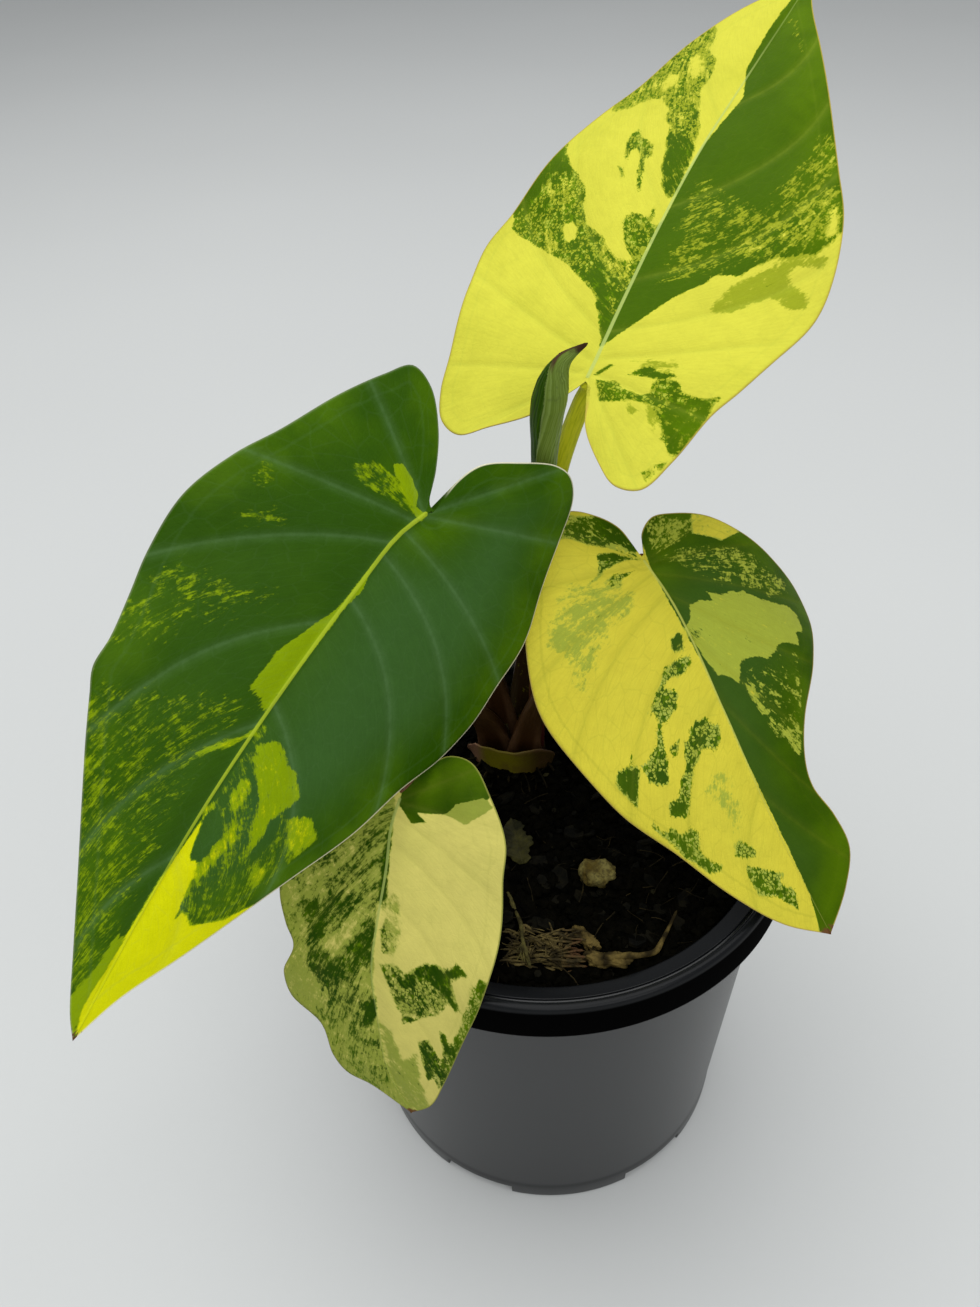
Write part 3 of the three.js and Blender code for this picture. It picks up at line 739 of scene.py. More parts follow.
CROWN_PLACE = np.array([-6.2, 21.8])
CROWN_RADIUS, CROWN_TOP_RADIUS = 8.0, 6.6
CROWN_BOTTOM, CROWN_TOP = 76, 91.4
CROWN_RINGS = 60
CROWN_SIDES = 120
SCAR_HEIGHT, SCAR_RADIANS_PER_MM = 0.25, 2.4
FLUTES, FLUTE_DEPTH = 9, 0.16
SHEATH_RADIUS, SHEATH_THICKNESS, SHEATH_LEAN = 9.9, 1.1, 1.6
SHEATH_BOTTOM, SHEATH_TOP = 84, 97.2
SHEATH_FROM, SHEATH_TO = 186, 322
SHEATH_SAG, SHEATH_END_DROP = 3.4, 5.0
ROOT_TURNS = [205, 222, 236, 252, 263, 281, 296, 312, 340]


def crown_mesh():
    """A squat stem with a scar ring every few millimetres and a slightly sunken top."""
    shares = np.linspace(0, 1, CROWN_RINGS)
    angles = all_round(CROWN_SIDES)
    height = CROWN_BOTTOM + (CROWN_TOP - CROWN_BOTTOM) * shares
    radius = CROWN_RADIUS + (CROWN_TOP_RADIUS - CROWN_RADIUS) * shares**2
    radius = radius * np.sqrt(np.clip(1 - shares**7, 0, 1))
    scars = SCAR_HEIGHT * np.maximum(0, np.cos(height * SCAR_RADIANS_PER_MM)) ** 3 * (radius > 4)
    flutes = FLUTE_DEPTH * np.cos(3 * shares[:, None] + FLUTES * angles)
    section = np.maximum((radius + scars)[:, None] + flutes, 0.02)
    path = np.column_stack([np.tile(CROWN_PLACE, (CROWN_RINGS, 1)), height])
    return mesh_of("crown", *swept(path, section))


def sheath_mesh():
    """A curved wall that follows the stem round its front, thin and ragged along its top edge."""
    around, up = 120, 26
    turn = np.radians(np.linspace(SHEATH_FROM, SHEATH_TO, around))
    share = np.linspace(0, 1, up)
    ends = np.clip(np.minimum(np.arange(around), np.arange(around)[::-1]) / 26, 0, 1) ** 0.6
    ragged = 0.2 * np.sin(turn * 5) + 0.1 * np.sin(turn * 17)
    sag = SHEATH_SAG * np.clip((math.radians(245) - turn) / math.radians(60), 0, 1)
    top = SHEATH_TOP - 0.6 - sag - SHEATH_END_DROP * (1 - ends) + ragged * ends
    height = SHEATH_BOTTOM + np.outer(top - SHEATH_BOTTOM, share)
    wall = SHEATH_THICKNESS * (1 - 0.7 * share)
    outer = SHEATH_RADIUS + SHEATH_LEAN * share**1.6
    sheets = []
    for radius in (outer, outer - wall):
        x = CROWN_PLACE[0] + np.outer(np.cos(turn), radius)
        y = CROWN_PLACE[1] + np.outer(np.sin(turn), radius)
        sheets.append(np.stack([x, y, height], -1).reshape(-1, 3))
    mesh = mesh_of("sheath", np.vstack(sheets), sheet_faces(around, up))
    mark(mesh, "upward", np.tile(share, 2 * around))
    return welded(mesh)


def attribute(tree, name, out="Fac"):
    return put(tree, "ShaderNodeAttribute", None, out, attribute_name=name)


def sheath_material():
    material, place = new_material("old_sheath")
    across = parts(place)[0]
    upward = attribute(place.tree, "upward")
    grains = texture(place, 1900, seed=3)
    base = mix(ramp(across, -0.009, 0), colour(104, 98, 12), colour(54, 40, 12))
    base = mix(ramp(texture(place, 260), 0.45, 0.7, 0, 0.5), base, colour(70, 48, 30))
    pink = calculate("MAXIMUM", ramp(upward, 0.9, 0.99, 0, 0.2), ramp(across, -0.0125, -0.0155))
    base = mix(pink, base, colour(122, 90, 68))
    rough = ramp(grains, 0.3, 0.7, 0.65, 0.45)
    return finished(material, base, rough, 0.15, grains, 0.0002, 0.6)


def crown_roots(random):
    """Thin roots that leave the foot of the stem and dive into the mix."""
    roots = []
    for turn in np.radians(ROOT_TURNS):
        way = np.array([math.cos(turn), math.sin(turn)])
        length = random.uniform(3, 7.5)
        stops = []
        for reach, lift in ((7.2, 0.6), (9.2, 1.0), (10.2 + length * 0.5, 0.9), (10.2 + length, -0.7)):
            x, y = CROWN_PLACE + way * reach + random.uniform(-0.5, 0.5, 2)
            stops.append((x, y, soil_height(x, y) + lift))
        roots.append(strand(stops, random.uniform(0.22, 0.4), 7, 26, turn))
    return joined_mesh("crown_roots", roots)


crown_finish = grainy_material(
    "stem_base", (24, 12, 8), (54, 28, 18), (26, 14, 12), (210, 4), (1500, 3, 0.6, 3), (0.5, 0.8, 0.5),
    (0.6, 0.4), 0.15, (0.0003, 0.6)
)
add_piece("stem_foot", crown_mesh(), crown_finish, "stem_base")
add_piece("sheath_remnant", sheath_mesh(), sheath_material(), "collar_sheath")
add_piece("crown_roots", crown_roots(random), root_finish)


# Leaf stalks
# Each leaf stands on its own fleshy stalk, which clasps the stem with a winged sheath at its foot and
# runs into the underside of the blade at the top. The back one is yellow green, the others reddish.

STALK_BASE_RADIUS = 2.25
STALK_TOP_RADIUS = 1.45
STALK_SIDES = 40
STALK_STEPS = 170
WING_TURN = 0.9

# How far each rises from the stalk or sinks into it, and how wide it is: the flare of the foot and the
# swelling under the blade as shares of the length, then the wing and the groove as turns in radians.
FOOT_FLARE, FOOT_SHARE = 1.8, 0.22
HEAD_SWELLING, HEAD_SHARE = 0.25, 0.02
WING_RISE, WING_WIDTH, WING_SHARE = 0.75, 0.28, 0.4
GROOVE_DEPTH, GROOVE_WIDTH = 0.5, 0.5

# For each leaf: where its blade is fixed, which way its midrib runs, how far that dips and how far the
# blade leans about it (degrees), its curl along and across, its swell, how much thicker its stalk is
# than the others, and the stalk's path.
LEAVES = {
    "back": {
        "base": (9.1, 22.3, 180.4), "heading": 58, "dip": -35, "lean": 6,
        "arch": 0.002, "droop": (0.0025, 0.0025), "swell": (1.2, 38, 0.5), "girth": 1.22,
        "stalk": [(-4.6, 25.4, 84), (-4.4, 25.8, 96), (-2.5, 26.6, 120), (3.6, 26.2, 158), (8.2, 24.6, 174)],
    },
    "left": {
        "base": (-18.6, -7.2, 169.5), "heading": -127, "dip": 32, "lean": -59,
        "arch": 0.002, "droop": (0.006, 0.003), "swell": (1.2, 42, 0),
        "stalk": [(-9.3, 25, 84), (-9.8, 25, 96), (-13.5, 22, 122), (-18.5, 10, 150), (-20.2, -1, 163)],
    },
    "right": {
        "base": (20.2, 12.3, 146.4), "heading": -55, "dip": 37, "lean": 10,
        "arch": 0.003, "droop": (0.012, 0.005), "swell": (1.2, 34, 1),
        "stalk": [(-4.6, 18, 84), (-3.6, 17.6, 96), (3, 17, 115), (14, 16.4, 134), (18.4, 15.6, 141)],
    },
    "low": {
        "base": (-26.4, -26, 120.5), "heading": -102, "dip": 42, "lean": 8,
        "arch": 0.0115, "droop": (0.002, 0.002), "swell": (1.8, 26, 0.3),
        "stalk": [
            (-10.2, 20.2, 84), (-11.5, 19.4, 95), (-15.5, 12, 107.5), (-21.5, -8, 116), (-24.8, -20, 117.6),
        ],
    },
}


def blade_axes(leaf):
    """The blade's own directions at the stalk: forward to its tip, sideways, and out of its top."""
    heading, dip, lean = np.radians([leaf["heading"], leaf["dip"], leaf["lean"]])
    forward = np.array([math.cos(heading) * math.cos(dip), math.sin(heading) * math.cos(dip), -math.sin(dip)])
    level = np.array([-math.sin(heading), math.cos(heading), 0])
    side = level * math.cos(lean) + np.cross(forward, level) * math.sin(lean)
    return forward, side, np.cross(forward, side)


def smooth_step(value):
    value = np.clip(value, 0, 1)
    return value * value * (3 - 2 * value)


def stalk_mesh(leaf):
    """A tapered stalk with a groove up its front and two sheath wings along its lower third."""
    normal = blade_axes(leaf)[2]
    base = np.array(leaf["base"])
    path = smooth_curve([*leaf["stalk"], base - 3.2 * normal, base - 0.5 * normal], STALK_STEPS)
    share = np.linspace(0, 1, STALK_STEPS)[:, None]
    turn = all_round(STALK_SIDES)[None]
    radius = STALK_BASE_RADIUS + (STALK_TOP_RADIUS - STALK_BASE_RADIUS) * share**0.8
    radius = radius * (1 + (leaf.get("girth", 1) - 1) * smooth_step((share - 0.3) / 0.2))
    radius = radius + HEAD_SWELLING * bell(1 - share, HEAD_SHARE) + FOOT_FLARE * bell(share, FOOT_SHARE)
    wings = np.clip(1 - share / WING_SHARE, 0, 1) ** 1.2
    away = np.minimum(np.abs(turn - WING_TURN), np.abs(turn - 2 * math.pi + WING_TURN))
    groove = np.minimum(turn, 2 * math.pi - turn)
    lean = WING_RISE * bell(away, WING_WIDTH) - GROOVE_DEPTH * bell(groove, GROOVE_WIDTH)
    section = radius * (1 + wings * lean) + 0.05 * np.cos(7 * turn) + 0.03 * np.cos(13 * turn + 2)
    mesh = mesh_of("stalk", *swept(path, section))
    wrap = np.stack(np.broadcast_arrays(np.cos(turn), np.sin(turn), share), -1).reshape(-1, 3)
    mark(mesh, "wrap", np.vstack([wrap, [[0, 0, 0], [0, 0, 1]]]))
    return mesh


def stalk_material(name, foot, ridge, middle, head, streak, turns):
    """A fleshy stalk: its colour turns from foot to middle to head at two shares of its length, with
    a ridge of another colour on each sheath wing, long streaks and small flecks."""
    foot, ridge, middle, head, streak = [colour(*seen) for seen in (foot, ridge, middle, head, streak)]
    material, place = new_material(name)
    wrap = attribute(place.tree, "wrap", "Vector")
    round_x, round_y, upward = parts(wrap)
    streaks = texture(vector_math("MULTIPLY", wrap, (1, 1, 5)), 5, 4)
    flecks = texture(place, 900)
    wing = round_x * 0.62 + calculate("ABSOLUTE", round_y) * 0.78
    wing = ramp(wing, 0.9, 0.985) * ramp(upward, 0.08, 0.3, 0.5, 0)
    past_foot, past_middle = [ramp(upward, turn - 0.2, turn) for turn in turns]
    base = mix(past_middle, mix(past_foot, mix(wing, foot, ridge), middle), head)
    base = mix(ramp(streaks, 0.42, 0.68, 0, 0.5), base, mix(past_foot, foot, streak))
    base = mix(ramp(flecks, 0.58, 0.68, 0, 0.2), base, middle)
    rough = ramp(streaks, 0.3, 0.7, 0.36, 0.5)
    return finished(material, base, rough, 0.1, flecks * 0.4 + streaks, 0.0002, 0.4)


red_stalk = stalk_material(
    "red_stalk", (48, 28, 10), (108, 80, 58), (58, 40, 18), (104, 66, 36), (84, 62, 40), (0.35, 0.95)
)
yellow_stalk = stalk_material(
    "yellow_stalk", (46, 32, 15), (74, 68, 50), (174, 176, 20), (206, 206, 40), (136, 152, 0), (0.55, 0.92)
)
for name, leaf in LEAVES.items():
    stalk_finish, slot = (yellow_stalk, "stalk_yellow") if name == "back" else (red_stalk, "stalk_red")
    add_piece(f"{name}_stalk", stalk_mesh(leaf), stalk_finish, f"leaf_stalk_{name}")


# Leaf blades
# Four arrow-shaped blades, each one thin sheet of living tissue. Side veins run from a strong midrib
# to the margin, and jagged yellow and green patches follow them. The stalk joins at the notch.

BLADE_ROWS = 230
BLADE_COLUMNS = 50
BLADE_THICKNESS = 0.5
MARGIN_THICKNESS = 0.22
MIDRIB_WIDTH = 0.5
MIDRIB_HEIGHT = 0.2
KEEL_DEPTH, KEEL_WIDENING = 1.1, 1.7
FURROW_DEPTH, FURROW_WIDTH = 0.45, 2.2
VEIN_WIDTH = 0.8
VALLEY_SHARE = 0.6
QUILTED_GAP = 14
EDGE_TAPER = 5
RIBS = {"back": 0.8, "left": 0.85, "right": 0.55, "low": 0.65}
QUILTS = {"back": 0.36, "left": 0.38, "right": 0.33, "low": 0.16}

# What sets the tissue of each blade apart, in the order back, left, right and low.
TISSUE_COLOURS = {
    "Yellow": ((192, 190, 62), (198, 200, 0), (190, 180, 54), (186, 178, 94)),
    "Fleck": ((164, 174, 60), (124, 149, 8), (150, 160, 70), (168, 166, 88)),
    "Olive": ((138, 148, 30), (122, 146, 0), (144, 154, 52), (128, 138, 52)),
    "Bright": ((90, 120, 0), (76, 110, 0), (80, 108, 0), (84, 112, 0)),
    "Deep": ((60, 88, 0), (40, 73, 0), (44, 70, 0), (28, 55, 0)),
    # A painted sheen: the sky's reflection painted into the deep green as a paler, bluer colour.
    "Bloom": ((58, 88, 10), (54, 88, 38), (52, 80, 34), (26, 52, 0)),
    "Vein": ((156, 166, 56), (96, 128, 84), (132, 136, 36), (132, 130, 56)),
    "Midrib": ((168, 184, 100), (160, 178, 40), (170, 174, 80), (140, 154, 80)),
    "Margin": ((180, 160, 70), (226, 220, 190), (170, 150, 70), (126, 128, 56)),
}
TISSUE_LEVELS = {
    "Seed": (1, 2, 3, 4),
    "Lace": (1.6, 0.5, 2.8, 1.4),
    "Softness": (0.5, 0.8, 0.45, 0.65),
    "Fleck Level": (0.3, -0.6, 0.42, 0.6),
    # How much of that painted sheen lies on the blade, and how much of it on the blade's far half.
    "Bloom Share": (0.3, 0.8, 0.4, 0.9),
    "Far Bloom": (1, 0.12, 0.3, 0.2),
    "Vein Strength": (0.18, 0.08, 0.3, 0.13),
    "Green Veins": (0.14, 0.26, 0.08, 0.08),
    "Far Margin": (1, 0.1, 1, 1),
    "Brown Tip": (3, 1.6, 1.8, 1.5),
}
STREAK_SCALES = ((0.75, 0.26, 1), (0.8, 0.22, 1), (0.75, 0.2, 1), (0.5, 0.14, 1))
SHEENS = (0.02, 0.05, 0.03, 0.03)

# Outlines in blade millimetres: along the midrib from the stalk, and across it. Each runs from the
# notch round one lobe to the tip. Veins say how far round that outline each side vein ends, and bow
# how far those veins bend outwards, for the left half and the right one.
SHAPES = {
    "back": {
        "tip": (104.5, -1),
        "midrib": "0,0 34,1 53,1 72,0 96,-1",
        "veins": ([0.16, 0.27, 0.4, 0.52, 0.64, 0.76, 0.87], [0.17, 0.28, 0.42, 0.54, 0.66, 0.77, 0.88]),
        "bow": (0.1, 0.12),
        "left": """
            -2.8,1.1 -10,6.6 -15,14 -18,19 -16,24 -10,27.5 -2,29 12,32 24,34.5 32,32 45,29 59,25 68,20
            80,15 92,9""",
        "right": """
            -2,-1.5 -9,-3.6 -15,-9 -18,-13.5 -17,-18 -10,-21 0,-24 6,-27 14,-30 25,-33 34,-33 45,-30.5
            57,-25 70,-18.5 85,-10.5 95,-5""",
    },
    "left": {
        "tip": (103.8, 0),
        "midrib": "0,-1 6,-3 16,-4 35,-5 57,-5 79,-3.3",
        "veins": ([0.18, 0.27, 0.44, 0.54, 0.64, 0.78, 0.9], [0.21, 0.36, 0.5, 0.68, 0.8, 0.9]),
        "bow": (0.12, 0.1),
        "left": """
            -2,0.2 -8,0.8 -13,3 -18,9 -22.5,16 -23,20 -20.5,23.5 -13,26.5 -3,29 6,31 16,31 25,31.8 33,30
            42,25 53,21 63,16.5 73,12 84,7 94,2.5""",
        "right": """
            -2,-1.5 -7,-3.5 -13,-7 -18,-12 -19,-16.5 -15,-19.5 -8,-23.5 3,-28.5 11,-32.5 20,-35 30.7,-34.3
            38,-33 45,-32 50,-31.8 54,-29.8 60,-26.5 66,-23 78,-16 90,-9 100,-3""",
    },
    "right": {
        "tip": (80.5, 0),
        "midrib": "0,0 8,1 17,1 33,0 57,-1",
        "veins": ([0.18, 0.28, 0.42, 0.54, 0.66, 0.77, 0.88], [0.18, 0.28, 0.42, 0.54, 0.66, 0.77, 0.88]),
        "bow": (-0.03, 0.1),
        "left": """
            -1.5,1 -5,2.3 -7.3,6 -6.5,11 -3.5,18.5 2,24.5 9,29.5 18,34 25,32.6 33,25.4 41.5,16 49,11.3
            54,10.3 61,12 68,12 74,7.5""",
        "right": """
            -2,-0.3 -8,-1.2 -12.5,-4.5 -15.5,-9 -14.5,-15 -9,-20.5 -2,-25 6,-29 16,-31.3 28,-30.3 41,-27
            53,-20.5 64,-15 74,-8""",
    },
    "low": {
        "tip": (66.5, 2.5),
        "midrib": "0,0 5,-1 13,-1 23,-2 33,-3 43,-2 55,-1",
        "veins": ([0.18, 0.3, 0.44, 0.57, 0.7, 0.83], [0.18, 0.3, 0.44, 0.57, 0.7, 0.83]),
        "bow": (0.1, 0.03),
        "left": "-2,1 -6,4 -9,8 -8.5,12.5 -3,17 5,21.5 12,21.5 25,21.5 35,19 45,15 55,11 63,7",
        "right": """
            -2,-1 -7,-4 -9,-9 -6,-14 2,-19 11,-23 21,-24 27,-21.5 31,-19.5 38,-22.5 43.5,-21.8 48,-14.8
            55,-12.6 58.8,-10 60.8,-5""",
    },
}
